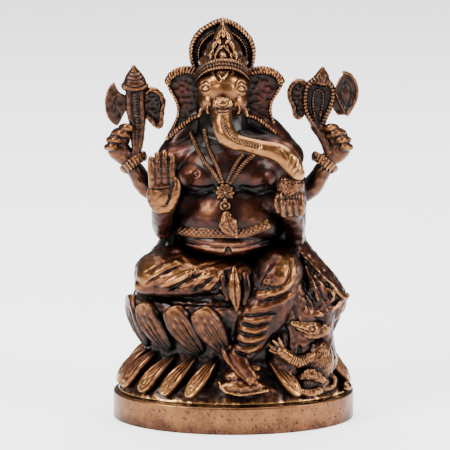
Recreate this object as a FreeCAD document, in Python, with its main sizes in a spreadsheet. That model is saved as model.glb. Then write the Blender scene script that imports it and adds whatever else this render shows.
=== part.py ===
import FreeCAD, Part
import math
import os

from FreeCAD import Placement, Rotation, Vector

# Cast brass idol: an elephant-headed, four-armed seated figure on a double lotus and an oval plinth,
# with a mouse beside the seat. Millimetres; +Z up, -Y to the front, +X to the figure's left hand.
# The origin lies under the middle of the plinth, on the surface that the idol stands on.
# The casting has no joints: its sections are modelled as separate solids that meet face to face.

doc = FreeCAD.newDocument("seated_idol")
sheet = doc.addObject("Spreadsheet::Sheet", "Sizes")
nodes = []
next_row = 1


def cell(alias, value):
    """Write one driving dimension to the sheet and return its alias."""
    global next_row
    sheet.set("A%d" % next_row, alias)
    sheet.set("B%d" % next_row, repr(float(value)))
    sheet.setAlias("B%d" % next_row, alias)
    next_row += 1
    return alias


def bind(target, prop, alias):
    """Drive one property of an object from a cell."""
    target.setExpression(prop, "Sizes." + alias)


def place(target, name, point, rotation=None):
    """Write a place to the sheet and bind the object's position to it."""
    target.Placement = Placement(Vector(*point), rotation or Rotation())
    for axis, value in zip("xyz", point):
        bind(target, "Placement.Base." + axis, cell("%s_%s" % (name, axis), value))


def node(target, label):
    """Label a finished sub-part and keep it for the export."""
    target.Label = label
    nodes.append(target)
    return target


# ---------------------------------------------------------------------------------------------
# Shapes that repeat
# ---------------------------------------------------------------------------------------------

def ball(name, centre, radii, rotation=None):
    """Ellipsoid with half-sizes (across, deep, tall)."""
    solid = doc.addObject("Part::Ellipsoid", name + "_ball")
    across, deep, tall = radii
    bind(solid, "Radius2", cell(name + "_across", across))
    bind(solid, "Radius3", cell(name + "_deep", deep))
    bind(solid, "Radius1", cell(name + "_tall", tall))
    place(solid, name, centre, rotation)
    return solid


def oval(name, centre, across, deep, rotation=None):
    """Closed ellipse, its longer half-size along its own X unless it is deeper than wide."""
    turn = rotation or Rotation()
    if deep > across:
        turn = turn.multiply(Rotation(Vector(0, 0, 1), 90))
    curve = doc.addObject("Part::Ellipse", name + "_oval")
    bind(curve, "MajorRadius", cell(name + "_major", max(across, deep)))
    bind(curve, "MinorRadius", cell(name + "_minor", min(across, deep)))
    place(curve, name, centre, turn)
    return curve


def loft(name, curves):
    """Smooth solid through closed curves."""
    solid = doc.addObject("Part::Loft", name + "_loft")
    solid.Sections = curves
    solid.Solid = True
    solid.Ruled = False
    return solid


def stack(name, levels, centre=(0.0, 0.0)):
    """Upright loft through level ovals given as (height, across, deep)."""
    curves = [
        oval("%s_%d" % (name, index), (centre[0], centre[1], height), across, deep)
        for index, (height, across, deep) in enumerate(levels)
    ]
    return loft(name, curves)


def limb(name, stations, facing=Vector(0, 1, 0)):
    """Loft along a bent path. A station is (x, y, z, half-width, half-depth), deep along facing."""
    points = [Vector(*station[:3]) for station in stations]
    curves = []
    for index, station in enumerate(stations):
        before = points[max(index - 1, 0)]
        after = points[min(index + 1, len(points) - 1)]
        along = (after - before).normalize()
        side = facing.cross(along).normalize()
        deep_way = along.cross(side)
        turn = Rotation(side, deep_way, along, "ZXY")
        curves.append(oval("%s_%d" % (name, index), station[:3], station[3], station[4], turn))
    return loft(name, curves)


def slab(name, centre, across, deep, thickness, rotation=None):
    """Oval plate, its underside at the centre point."""
    solid = doc.addObject("Part::Extrusion", name + "_slab")
    solid.Base = oval(name, centre, across, deep, rotation)
    solid.DirMode = "Normal"
    solid.Solid = True
    bind(solid, "LengthFwd", cell(name + "_thick", thickness))
    return solid


def plate(name, outline, thickness, back):
    """Flat plate that faces front, padded from an outline of straight lines and three-point arcs.

    The outline starts at its first (x, z) point. Each further step is a corner (x, z), or an
    arc's middle and end as (x, z, x, z). The back face lies at depth y = back.
    """
    body = doc.addObject("PartDesign::Body", name + "_body")
    sketch = body.newObject("Sketcher::SketchObject", name + "_outline")
    plane = [item for item in body.Origin.OriginFeatures if item.Role == "XZ_Plane"][0]
    sketch.AttachmentSupport = [(plane, "")]
    sketch.MapMode = "FlatFace"
    here = Vector(outline[0][0], outline[0][1], 0)
    for step in outline[1:] + outline[:1]:
        there = Vector(step[-2], step[-1], 0)
        if there.isEqual(here, 1e-6):
            continue
        if len(step) == 4:
            sketch.addGeometry(Part.Arc(here, Vector(step[0], step[1], 0), there), False)
        else:
            sketch.addGeometry(Part.LineSegment(here, there), False)
        here = there
    pad = body.newObject("PartDesign::Pad", name + "_pad")
    pad.Profile = sketch
    bind(pad, "Length", cell(name + "_thick", thickness))
    body.Tip = pad
    place(body, name, (0.0, back, 0.0))
    return body


def fuse(name, pieces):
    """One solid from blanks that run into each other."""
    solid = doc.addObject("Part::MultiFuse", name + "_fuse")
    solid.Shapes = pieces
    return solid


def cut_back(name, blank, *neighbours):
    """Cut a blank back where it meets its neighbours."""
    piece = blank
    for index, neighbour in enumerate(neighbours):
        cut = doc.addObject("Part::Cut", "%s_fit_%d" % (name, index))
        cut.Base = piece
        cut.Tool = neighbour
        piece = cut
    return piece


def fit(label, blank, *neighbours):
    """Cut a blank back where it meets its neighbours, and keep it as a sub-part."""
    return node(cut_back(label, blank, *neighbours), label)


def tilt(degrees, axis):
    """Rotation about one of the main axes."""
    return Rotation({"x": Vector(1, 0, 0), "y": Vector(0, 1, 0), "z": Vector(0, 0, 1)}[axis], degrees)


# ---------------------------------------------------------------------------------------------
# Plinth and lotus
# ---------------------------------------------------------------------------------------------

PLINTH_ACROSS = 57.0
PLINTH_DEEP = 37.0
PLINTH_TALL = 13.0
HOLLOW_ACROSS = 42.0
HOLLOW_DEEP = 22.0
EDGE_ROUND = 1.0

plinth_block = slab("plinth_block", (0.0, 0.0, 0.0), PLINTH_ACROSS, PLINTH_DEEP, PLINTH_TALL)
plinth_hollow = slab("plinth_hollow", (0.0, 0.0, -1.0), HOLLOW_ACROSS, HOLLOW_DEEP, PLINTH_TALL + 2.0)
plinth_ring = doc.addObject("Part::Cut", "plinth_ring")
plinth_ring.Base = plinth_block
plinth_ring.Tool = plinth_hollow
doc.recompute()
outer_rim = [
    index
    for index, edge in enumerate(plinth_ring.Shape.Edges, start=1)
    if abs(edge.BoundBox.ZMin - PLINTH_TALL) < 0.01 and edge.BoundBox.XLength > 2 * HOLLOW_ACROSS + 1
]
plinth = doc.addObject("Part::Fillet", "plinth_rounded")
plinth.Base = plinth_ring
plinth.Edges = [(index, EDGE_ROUND, EDGE_ROUND) for index in outer_rim]
node(plinth, "plinth")

# The lotus is an oval hourglass, cast hollow from below.
lotus_skin = stack("lotus_skin", [
    (PLINTH_TALL, 50.0, 28.0),
    (22.0, 47.5, 26.5),
    (35.0, 40.0, 22.5),
    (47.0, 43.5, 25.5),
    (57.0, 47.0, 29.0),
])
lotus_hollow = stack("lotus_hollow", [
    (PLINTH_TALL, HOLLOW_ACROSS, HOLLOW_DEEP),
    (22.0, 39.0, 20.0),
    (35.0, 33.0, 16.0),
    (48.0, 33.0, 17.0),
])
lotus_core = fit("lotus_core", lotus_skin, lotus_hollow)

# A petal row is an oval: half-width, half-depth, height, slope of the core's wall, sideways lean.
# The upper row stands up and out from the waist; the lower row hangs down and out to the deck.
UPPER_ROW = (44.0, 26.0, 47.0, 20.0, -38.0)
LOWER_ROW = (48.5, 28.5, 25.5, -24.0, 40.0)
# A petal's stations: place along its length, half-width, half-thickness.
PETAL_STATIONS = [(-11.5, 2.6, 2.0), (-6.0, 4.9, 3.2), (0.0, 5.7, 3.6), (6.5, 5.0, 3.0), (11.0, 2.4, 1.6)]


def petal(name, angle, row):
    """One petal, angle degrees round the oval from the front, leaning away from the middle."""
    across, deep, height, slope, lean = row
    turn = math.radians(angle)
    centre = Vector(across * math.sin(turn), -deep * math.cos(turn), height)
    facing = math.degrees(math.atan2(math.sin(turn) / across, math.cos(turn) / deep))
    away = 0.0 if angle == 180.0 else math.copysign(1.0, angle)
    rotation = tilt(facing, "z").multiply(tilt(slope, "x")).multiply(tilt(away * -lean, "y"))
    length = rotation.multVec(Vector(0, 0, 1))
    stations = []
    for place_along, wide, thick in PETAL_STATIONS:
        point = centre + length * place_along
        stations.append((point.x, point.y, point.z, wide, thick))
    return limb(name, stations, rotation.multVec(Vector(0, 1, 0)))


def petal_row(prefix, row, front_angles, back_angles):
    """Petals of one row: each of those in front is a sub-part, those round the back are the last one."""
    fitted = []
    for number, angle in enumerate(front_angles, start=1):
        name = "%s_petal_%d" % (prefix, number)
        fitted.append(fit(name, petal(name, angle, row), lotus_core))
    behind = [
        cut_back(name, petal(name, angle, row), lotus_core)
        for name, angle in (("%s_behind_%d" % (prefix, int(angle % 360)), angle) for angle in back_angles)
    ]
    group = doc.addObject("Part::Compound", prefix + "_behind")
    group.Links = behind
    return fitted + [node(group, prefix + "_petals_back")]


BACK_ANGLES = [79.0, 102.0, 125.0, 150.0, 180.0, -150.0, -125.0, -102.0, -79.0]
upper_petals = petal_row("upper", UPPER_ROW, [-56.0, -34.0, -14.0, 56.0], BACK_ANGLES)
lower_petals = petal_row("lower", LOWER_ROW, [-60.0, -43.0, -27.0, -11.0, 28.0], BACK_ANGLES)

# ---------------------------------------------------------------------------------------------
# Body and legs
# ---------------------------------------------------------------------------------------------

hips = fit("hips", ball("hips", (0.0, 2.0, 65.5), (44.0, 26.0, 17.0)), lotus_core, *upper_petals)
belly = fit("belly", ball("belly", (-2.0, -6.0, 98.0), (28.0, 21.0, 19.5)), hips)
chest = fit("chest", ball("chest", (-1.0, -2.0, 120.0), (29.0, 22.0, 20.0)), belly)
neck = fit("neck", ball("neck", (-4.0, -1.0, 141.0), (16.0, 14.0, 10.0)), chest)
right_leg = fit(
    "right_leg",
    ball("right_leg", (-26.0, -13.0, 70.0), (20.5, 17.0, 10.5), tilt(4.0, "y")),
    hips, belly, lotus_core, *upper_petals[:3],
)
left_knee = fit(
    "left_knee",
    ball("left_knee", (21.0, -15.0, 72.0), (11.0, 14.5, 13.5), tilt(18.0, "y")),
    hips, belly, lotus_core,
)
left_shin = fit(
    "left_shin",
    limb("left_shin", [
        (18.0, -20.0, 66.0, 12.5, 10.0),
        (11.5, -24.0, 54.0, 10.5, 8.0),
        (7.0, -24.0, 43.0, 8.5, 6.5),
        (3.5, -23.5, 35.0, 6.5, 5.0),
    ]),
    left_knee, right_leg, hips, belly, lotus_core, upper_petals[2],
)
left_foot = fit(
    "left_foot",
    limb("left_foot", [
        (1.0, -25.0, 36.5, 5.5, 4.5),
        (4.0, -28.0, 30.0, 5.5, 4.5),
        (8.0, -29.5, 24.5, 3.8, 3.2),
        (10.0, -30.0, 21.5, 2.0, 1.8),
    ]),
    left_shin, lotus_core, lower_petals[3],
)
foot_petal = fit(
    "foot_petal",
    ball("foot_petal", (3.0, -29.0, 19.5), (9.5, 4.5, 4.0)),
    lotus_core, plinth, lower_petals[3], left_foot,
)
hanging_pleat = fit(
    "hanging_pleat",
    limb("hanging_pleat", [
        (1.5, -26.0, 76.0, 1.8, 2.2),
        (0.0, -29.0, 69.0, 2.8, 3.0),
        (0.5, -30.0, 62.0, 2.4, 2.6),
        (2.0, -30.0, 56.0, 1.0, 1.2),
    ]),
    right_leg, left_knee, left_shin, belly, hips, lotus_core,
)
hip_sash = fit(
    "hip_sash",
    limb("hip_sash", [
        (31.0, -2.0, 90.0, 3.5, 8.0),
        (36.0, -4.0, 77.0, 4.0, 8.0),
        (43.0, -6.0, 68.0, 5.0, 7.0),
        (47.5, -6.0, 59.0, 6.0, 6.0),
        (46.5, -5.0, 51.0, 4.5, 5.0),
    ]),
    left_knee, hips, belly, lotus_core, upper_petals[3], upper_petals[4],
)

# ---------------------------------------------------------------------------------------------
# Head and crown
# ---------------------------------------------------------------------------------------------

HEAD_MIDDLE = -5.0
HEAD_LEAN = 20.0

head = fit("head", ball("head", (HEAD_MIDDLE, -5.5, 156.0), (12.2, 15.5, 14.5)), neck, chest)
crest = node(ball("crest", (HEAD_MIDDLE, -10.0, 177.0), (6.5, 3.0, 8.0), tilt(-12.0, "x")), "crest")
crown = fit(
    "crown",
    stack("crown", [
        (160.0, 11.5, 11.0),
        (167.0, 12.6, 11.5),
        (176.0, 10.0, 9.0),
        (185.0, 3.5, 3.5),
    ], (HEAD_MIDDLE, -2.0)),
    head, crest,
)
crown_band = fit(
    "crown_band",
    slab("crown_band", (HEAD_MIDDLE, -3.5, 164.0), 14.0, 15.0, 4.5, tilt(-HEAD_LEAN, "x")),
    head, crown, crest, neck,
)
crown_halo = fit(
    "crown_halo",
    plate("crown_halo", [
        (HEAD_MIDDLE - 13.0, 165.0),
        (HEAD_MIDDLE - 15.3, 173.0, HEAD_MIDDLE - 11.5, 181.0),
        (HEAD_MIDDLE - 6.5, 185.5, HEAD_MIDDLE, 189.6),
        (HEAD_MIDDLE + 6.5, 185.5, HEAD_MIDDLE + 11.5, 181.0),
        (HEAD_MIDDLE + 15.3, 173.0, HEAD_MIDDLE + 13.0, 165.0),
    ], 6.0, 7.0),
    crown, crown_band, head,
)
trunk = fit(
    "trunk",
    limb("trunk", [
        (-5.0, -17.0, 158.0, 5.5, 6.0),
        (-5.0, -25.0, 148.0, 5.6, 5.4),
        (-3.5, -29.0, 141.0, 5.2, 5.0),
        (2.0, -30.5, 136.5, 4.8, 4.8),
        (12.0, -31.0, 134.0, 4.5, 4.5),
        (21.5, -32.0, 132.0, 4.2, 4.2),
        (27.5, -32.5, 127.5, 3.8, 3.8),
        (28.5, -32.0, 123.0, 3.2, 3.2),
    ]),
    head, neck, chest,
)
brow_disc = fit(
    "brow_disc",
    limb("brow_disc", [
        (HEAD_MIDDLE, -25.6, 151.8, 2.8, 1.8),
        (HEAD_MIDDLE, -26.6, 153.8, 4.5, 2.8),
        (HEAD_MIDDLE, -26.0, 156.4, 4.6, 2.8),
        (HEAD_MIDDLE, -24.4, 158.6, 3.0, 1.8),
    ]),
    trunk, head,
)


def tusk(label, side):
    """Short tusk beside the trunk's root, pointing down and out; side is -1 or 1."""
    root = HEAD_MIDDLE + side * 7.5
    blank = limb(label, [
        (root, -14.0, 151.0, 2.2, 2.2),
        (root + side * 1.2, -19.0, 146.5, 2.0, 2.0),
        (root + side * 2.2, -22.0, 142.0, 0.9, 0.9),
    ])
    return fit(label, blank, head, trunk, neck)


tusk("right_tusk", -1.0)
tusk("left_tusk", 1.0)


def ear(label, side, outline):
    """Spread ear beside the head; the outline is given outwards from the head's middle."""
    mirrored = [
        tuple(HEAD_MIDDLE + side * value if index % 2 == 0 else value for index, value in enumerate(step))
        for step in outline
    ]
    return fit(label, plate(label, mirrored, 5.0, 1.0), head, crown_band, crown, neck, chest)


right_ear = ear("right_ear", -1.0, [
    (10.0, 167.0),
    (19.0, 166.8, 25.0, 162.0),
    (25.5, 156.5),
    (20.5, 149.0, 23.0, 139.0),
    (24.5, 133.5),
    (17.0, 139.0, 10.0, 143.0),
])
left_ear = ear("left_ear", 1.0, [
    (10.0, 165.0),
    (19.0, 169.0, 27.0, 163.0),
    (28.0, 160.0),
    (22.0, 151.5, 24.5, 142.0),
    (29.0, 134.5),
    (20.0, 139.5, 10.0, 143.0),
])

# ---------------------------------------------------------------------------------------------
# Front arms
# ---------------------------------------------------------------------------------------------

def finger(name, root, tip, radius):
    """Straight finger from its root to its tip, a little thinner at the tip."""
    middle = [(low + high) / 2 for low, high in zip(root, tip)]
    return limb(name, [(*root, radius, radius), (*middle, radius, radius), (*tip, radius * 0.7, radius * 0.7)])


def hand(label, palm, fingers, radius):
    """Hand seen from the palm's side: the palm, and each finger given by its root and tip."""
    pieces = [palm]
    for number, (root, tip) in enumerate(fingers, start=1):
        pieces.append(finger("%s_finger_%d" % (label, number), root, tip, radius))
    return node(fuse(label, pieces), label)


front_right_hand = hand(
    "front_right_hand",
    ball("front_right_palm", (-32.5, -32.0, 112.5), (7.4, 3.6, 9.8)),
    [
        ((-37.6, -32.1, 115.0), (-38.3, -32.3, 130.0)),
        ((-34.6, -32.2, 117.0), (-35.0, -32.4, 132.5)),
        ((-31.4, -32.3, 117.0), (-31.4, -32.5, 133.5)),
        ((-28.4, -32.1, 115.0), (-28.0, -32.3, 132.0)),
        ((-30.0, -33.0, 106.0), (-26.2, -33.8, 119.0)),
    ],
    1.75,
)
front_left_hand = node(
    stack("front_left_hand", [
        (101.5, 5.0, 3.4),
        (105.0, 6.9, 4.9),
        (109.5, 7.1, 5.2),
        (113.5, 6.0, 4.6),
    ], (26.0, -31.0)),
    "front_left_hand",
)
front_right_arm = fit(
    "front_right_arm",
    limb("front_right_arm", [
        (-24.0, -4.0, 133.0, 7.0, 8.0),
        (-30.5, -8.0, 119.0, 7.0, 7.5),
        (-34.0, -13.0, 103.0, 6.5, 7.0),
        (-34.0, -20.0, 97.5, 6.0, 6.0),
        (-33.0, -27.0, 101.0, 5.0, 5.0),
    ]),
    chest, belly, hips, right_leg, front_right_hand,
)
front_left_arm = fit(
    "front_left_arm",
    limb("front_left_arm", [
        (23.0, -4.0, 133.0, 7.0, 8.0),
        (29.0, -8.0, 119.0, 6.5, 7.5),
        (31.0, -13.0, 102.0, 5.5, 7.0),
        (31.0, -20.0, 96.5, 5.5, 6.0),
        (28.0, -27.0, 101.0, 5.0, 5.0),
    ]),
    chest, belly, hips, left_knee, hip_sash, front_left_hand,
)
sweet_ball = fit(
    "sweet_ball",
    ball("sweet_ball", (26.0, -30.5, 118.0), (6.3, 6.3, 6.3)),
    front_left_hand, trunk,
)

# ---------------------------------------------------------------------------------------------
# Rear arms, and what they hold
# ---------------------------------------------------------------------------------------------

def rear_arm(side, name, elbow, wrist):
    """Raised rear arm from the shoulder to the wrist."""
    blank = limb(name, [
        (side * 24.0, 5.0, 121.0, 7.5, 7.0),
        (side * 32.0, 6.0, 108.0, 6.5, 6.0),
        (elbow[0], elbow[1], elbow[2], 5.5, 5.5),
        (wrist[0], wrist[1], wrist[2], 4.4, 4.4),
    ])
    front_arm = front_right_arm if side < 0 else front_left_arm
    return fit(name, blank, chest, belly, front_arm)


BRACELET_RADIUS = 4.6
BRACELET_WIRE = 1.9


def bracelet(name, centre, lean, against):
    """Ring round a wrist, lean degrees off upright."""
    ring = doc.addObject("Part::Torus", name + "_ring")
    bind(ring, "Radius1", cell(name + "_ring_radius", BRACELET_RADIUS))
    bind(ring, "Radius2", cell(name + "_wire_radius", BRACELET_WIRE))
    place(ring, name, centre, tilt(lean, "y"))
    return fit(name, ring, *against)


rear_right_arm = rear_arm(-1.0, "rear_right_arm", (-40.0, 5.5, 107.0), (-49.0, 4.0, 121.5))
rear_left_arm = rear_arm(1.0, "rear_left_arm", (38.0, 5.5, 109.0), (46.5, 4.0, 122.0))
right_bracelet = bracelet("right_bracelet", (-47.5, 4.3, 119.0), -32.0, [rear_right_arm])
left_bracelet = bracelet("left_bracelet", (45.0, 4.3, 119.5), 32.0, [rear_left_arm])


def fist(name, side, middle, against):
    """Hand closed round a handle: the palm and four stacked fingers that slope up and inwards."""
    pieces = [ball(name + "_palm", middle, (7.0, 5.5, 4.6), tilt(side * -38.0, "y"))]
    for number in range(4):
        root = (middle[0] + side * (4.6 - 2.7 * number), middle[1] - 2.5, middle[2] + 0.6 + 2.2 * number)
        curled = ball("%s_finger_%d" % (name, number + 1), root, (2.6, 4.6, 1.8), tilt(side * -20.0, "y"))
        pieces.append(curled)
    return fit(name, fuse(name, pieces), *against)


right_staff = fit(
    "right_staff",
    fuse("right_staff", [
        limb("right_shaft", [
            (-46.5, 3.5, 126.0, 2.2, 2.6),
            (-46.0, 3.0, 139.0, 3.6, 3.6),
            (-45.5, 2.5, 155.5, 5.0, 4.4),
        ]),
        ball("right_bud", (-45.8, 2.0, 158.8), (6.5, 6.0, 4.6)),
        stack("right_finial", [(159.0, 6.3, 5.8), (163.0, 4.2, 4.0), (168.0, 1.0, 1.0)], (-45.8, 2.0)),
    ]),
    rear_right_arm, right_bracelet,
)
left_noose = fit(
    "left_noose",
    fuse("left_noose", [
        limb("left_cord", [
            (46.0, 3.5, 127.0, 2.2, 2.6),
            (42.5, 3.0, 138.0, 3.6, 3.2),
            (40.0, 2.5, 149.0, 6.8, 3.6),
            (40.5, 2.0, 158.0, 7.0, 3.6),
            (41.5, 2.0, 162.5, 4.5, 3.0),
        ]),
        ball("left_bud", (41.5, 2.0, 163.5), (4.2, 3.8, 4.2)),
    ]),
    rear_left_arm, left_bracelet,
)
# How far the two axe blades reach to either side of the middle.
HELD_REACH = 60.1

right_axe = fit(
    "right_axe",
    plate("right_axe", [
        (-48.0, 154.0),
        (-52.5, 154.0, -55.8, 160.2),
        (-HELD_REACH, 150.0, -54.8, 139.8),
        (-53.5, 145.0, -48.0, 147.0),
    ], 3.2, 3.5),
    right_staff,
)
left_axe = fit(
    "left_axe",
    plate("left_axe", [
        (46.0, 155.0),
        (51.5, 164.0),
        (HELD_REACH, 154.0, 51.5, 144.0),
        (47.5, 145.0),
    ], 4.0, 3.5),
    left_noose,
)
right_flange = fit(
    "right_flange",
    plate("right_flange", [
        (-42.5, 155.5),
        (-35.0, 156.5, -32.3, 150.0),
        (-34.0, 144.0),
        (-34.5, 138.8),
        (-38.0, 142.5),
        (-42.5, 138.0),
    ], 5.0, 4.5),
    right_staff,
)
left_flange = fit(
    "left_flange",
    plate("left_flange", [
        (36.0, 159.5),
        (26.5, 160.0, 25.8, 153.0),
        (27.5, 147.0),
        (28.0, 142.8),
        (33.0, 144.0),
        (38.0, 136.0),
    ], 5.0, 4.5),
    left_noose,
)
rear_right_hand = fist(
    "rear_right_hand", -1.0, (-53.0, 3.0, 128.5), [rear_right_arm, right_bracelet, right_staff]
)
rear_left_hand = fist(
    "rear_left_hand", 1.0, (49.5, 3.0, 129.5), [rear_left_arm, left_bracelet, left_noose]
)

# ---------------------------------------------------------------------------------------------
# Jewellery
# ---------------------------------------------------------------------------------------------

necklace = fit(
    "necklace",
    slab("necklace", (-4.0, -4.5, 124.0), 19.0, 25.0, 3.0, tilt(38.0, "x")),
    chest, neck, trunk, front_right_arm, front_left_arm, belly,
)
pendant = fit(
    "pendant",
    fuse("pendant", [
        ball("pendant_rosette", (-4.0, -22.6, 112.5), (4.6, 2.6, 4.6)),
        ball("pendant_ring", (-4.0, -25.0, 106.7), (2.7, 2.6, 2.7)),
    ]),
    necklace, chest, belly,
)
belt = fit(
    "belt",
    slab("belt", (-2.0, -6.0, 92.5), 29.2, 22.2, 4.5),
    belly, hips, hip_sash, front_right_arm, front_left_arm, right_leg, left_knee,
)
buckle = fit(
    "buckle",
    ball("buckle", (-2.5, -27.5, 98.0), (4.0, 2.6, 6.0), tilt(-12.0, "y")),
    belly, belt, pendant,
)

# ---------------------------------------------------------------------------------------------
# Mouse beside the seat
# ---------------------------------------------------------------------------------------------

mouse_body = fit(
    "mouse_body",
    fuse("mouse_body", [
        ball("mouse_torso", (38.0, -19.5, 30.0), (7.5, 6.5, 14.5)),
        ball("mouse_rump", (39.0, -19.5, 20.5), (9.0, 7.0, 6.5)),
    ]),
    lotus_core, plinth, lower_petals[4], upper_petals[3],
)
mouse_head = fit(
    "mouse_head",
    limb("mouse_head", [
        (45.5, -20.0, 47.5, 2.6, 2.8),
        (41.0, -22.0, 48.0, 4.6, 4.6),
        (36.0, -24.0, 48.5, 4.4, 4.6),
        (31.0, -26.5, 50.0, 2.6, 3.0),
        (27.5, -28.0, 51.5, 1.0, 1.2),
    ]),
    mouse_body, lotus_core, upper_petals[3],
)
mouse_arm = fit(
    "mouse_arm",
    limb("mouse_arm", [
        (34.0, -24.0, 33.5, 4.2, 3.6),
        (28.0, -27.5, 33.5, 3.8, 3.4),
        (22.5, -29.0, 38.0, 3.2, 3.0),
        (18.0, -30.0, 41.0, 2.6, 2.2),
    ]),
    mouse_body, left_shin, lotus_core, lower_petals[4],
)

# ---------------------------------------------------------------------------------------------
# Check and write
# ---------------------------------------------------------------------------------------------

doc.recompute()
failed = [item.Name for item in doc.Objects if "Invalid" in item.State or "Error" in item.State]
if failed:
    raise RuntimeError("did not build: " + ", ".join(failed))

unsound = [
    item.Label
    for item in nodes
    if item.Shape.isNull() or not item.Shape.isValid() or not item.Shape.Solids
]
if unsound:
    raise RuntimeError("no sound solid: " + ", ".join(unsound))

os.makedirs("parts", exist_ok=True)
for item in nodes:
    print("%-20s solids %2d  volume %9.1f mm3" % (item.Label, len(item.Shape.Solids), item.Shape.Volume))
    item.Shape.exportStep("parts/%s.step" % item.Label)
print("%d sub-parts" % len(nodes))
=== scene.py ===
import logging
import math
from dataclasses import dataclass
from enum import Enum
from typing import ClassVar

import bmesh
import bpy
import numpy as np
from mathutils import Euler, Matrix, Vector, noise


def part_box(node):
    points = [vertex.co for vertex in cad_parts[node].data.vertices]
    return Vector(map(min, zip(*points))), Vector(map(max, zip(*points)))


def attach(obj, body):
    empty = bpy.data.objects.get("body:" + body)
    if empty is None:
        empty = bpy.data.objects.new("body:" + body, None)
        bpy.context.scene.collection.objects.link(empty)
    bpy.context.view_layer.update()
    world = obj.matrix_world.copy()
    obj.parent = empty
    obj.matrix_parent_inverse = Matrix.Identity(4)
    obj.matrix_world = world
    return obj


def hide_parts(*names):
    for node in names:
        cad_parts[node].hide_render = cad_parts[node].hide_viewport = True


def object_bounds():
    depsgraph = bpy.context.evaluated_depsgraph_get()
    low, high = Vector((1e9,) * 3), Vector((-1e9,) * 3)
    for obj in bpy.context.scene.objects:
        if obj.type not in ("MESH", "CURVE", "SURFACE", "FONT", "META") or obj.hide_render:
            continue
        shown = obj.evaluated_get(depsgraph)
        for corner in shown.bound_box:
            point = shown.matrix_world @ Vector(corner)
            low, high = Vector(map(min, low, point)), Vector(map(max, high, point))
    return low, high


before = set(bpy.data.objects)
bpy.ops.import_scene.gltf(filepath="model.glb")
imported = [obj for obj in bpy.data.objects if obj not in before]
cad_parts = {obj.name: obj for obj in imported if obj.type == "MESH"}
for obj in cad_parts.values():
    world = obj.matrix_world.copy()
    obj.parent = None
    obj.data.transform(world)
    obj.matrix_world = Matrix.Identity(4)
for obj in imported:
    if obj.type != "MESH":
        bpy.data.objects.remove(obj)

LOG = logging.getLogger("idol")
CAD_BOX = [list(corner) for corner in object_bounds()]

MM = 0.001
TILT = math.radians(12.0)
FRONT = Vector((0.0, -1.0, 0.0))
BACK = Vector((0.0, 1.0, 0.0))
UP = Vector((0.0, 0.0, 1.0))

# The middle of the base, in mm: every place below is counted from it.
BASE = Vector((
    (CAD_BOX[0][0] + CAD_BOX[1][0]) / 2 / MM,
    (CAD_BOX[0][1] + CAD_BOX[1][1]) / 2 / MM,
    CAD_BOX[0][2] / MM,
))

Station = tuple[float, float, float, float, float]
Spot = tuple[float, float]


# ------------------------------------------------------------------------------------------
# Measuring
# ------------------------------------------------------------------------------------------

def box_mm(node: str) -> tuple[Vector, Vector]:
    """Box of a CAD node in millimetres.

    Args:
        node: Name of the CAD node.

    Returns:
        Its lowest and highest corner.
    """
    low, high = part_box(node)
    return Vector(low) / MM, Vector(high) / MM


def spot(across: float, drawn: float, deep: float) -> Vector:
    """Turn a place on the tilted front drawing into a place in space.

    The drawing plane leans back by TILT, so a point that stands forward is drawn lower.

    Args:
        across: Millimetres to the figure's left of the middle.
        drawn: Height on the drawing, in millimetres over the middle of the base.
        deep: Depth of the point, in millimetres, negative towards the front.

    Returns:
        The point, in millimetres.
    """
    return BASE + Vector((across, deep, (drawn - deep * math.sin(TILT)) / math.cos(TILT)))


def ease(low: float, high: float, value: np.ndarray) -> np.ndarray:
    """Smooth step from 0 to 1.

    Args:
        low: Value up to which it is 0.
        high: Value from which it is 1.
        value: The values to weigh.

    Returns:
        A weight for each value.
    """
    part = np.clip((value - low) / (high - low), 0.0, 1.0)
    return part * part * (3.0 - 2.0 * part)


def flowing(rows: np.ndarray, spacing: float) -> np.ndarray:
    """Pass a Catmull-Rom curve through rows of numbers whose first columns are a place.

    Args:
        rows: One row for each station.
        spacing: Largest step between the rows of the result, in millimetres.

    Returns:
        The denser rows.
    """
    padded = np.vstack([2 * rows[0] - rows[1], rows, 2 * rows[-1] - rows[-2]])
    places = min(3, rows.shape[1])
    dense = []
    for index in range(1, len(padded) - 2):
        before, here, there, after = padded[index - 1:index + 3]
        steps = max(2, math.ceil(np.linalg.norm((there - here)[:places]) / spacing))
        for step in range(steps):
            t = step / steps
            dense.append(0.5 * (
                2 * here + (there - before) * t
                + (2 * before - 5 * here + 4 * there - after) * t ** 2
                + (3 * here - before - 3 * there + after) * t ** 3
            ))
    dense.append(rows[-1])
    return np.array(dense)


def line(*spots: Spot, spacing: float = 0.7) -> np.ndarray:
    """Smooth drawn line through spots on the front drawing.

    Args:
        spots: Two spots or more; two give a straight line.
        spacing: Largest step between the line's points, in millimetres.

    Returns:
        Points along the line.
    """
    rows = np.array(spots, dtype=float)
    return rows if len(rows) == 2 else flowing(rows, spacing)


def ring_line(middle: Spot, radius: float, start: float = 0.0, end: float = 360.0,
              squash: float = 1.0) -> np.ndarray:
    """Arc on the front drawing.

    Args:
        middle: Centre of the arc.
        radius: Its radius, in millimetres.
        start: First angle in degrees, counted from the figure's left, upwards.
        end: Last angle in degrees.
        squash: Height of the arc over its width.

    Returns:
        Points along the arc.
    """
    angles = np.radians(np.linspace(start, end, 25))
    return np.stack([
        middle[0] + radius * np.cos(angles),
        middle[1] + radius * squash * np.sin(angles),
    ], axis=1)


# ------------------------------------------------------------------------------------------
# Wax: rough forms laid over each other, then fused into one skin
# ------------------------------------------------------------------------------------------

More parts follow.
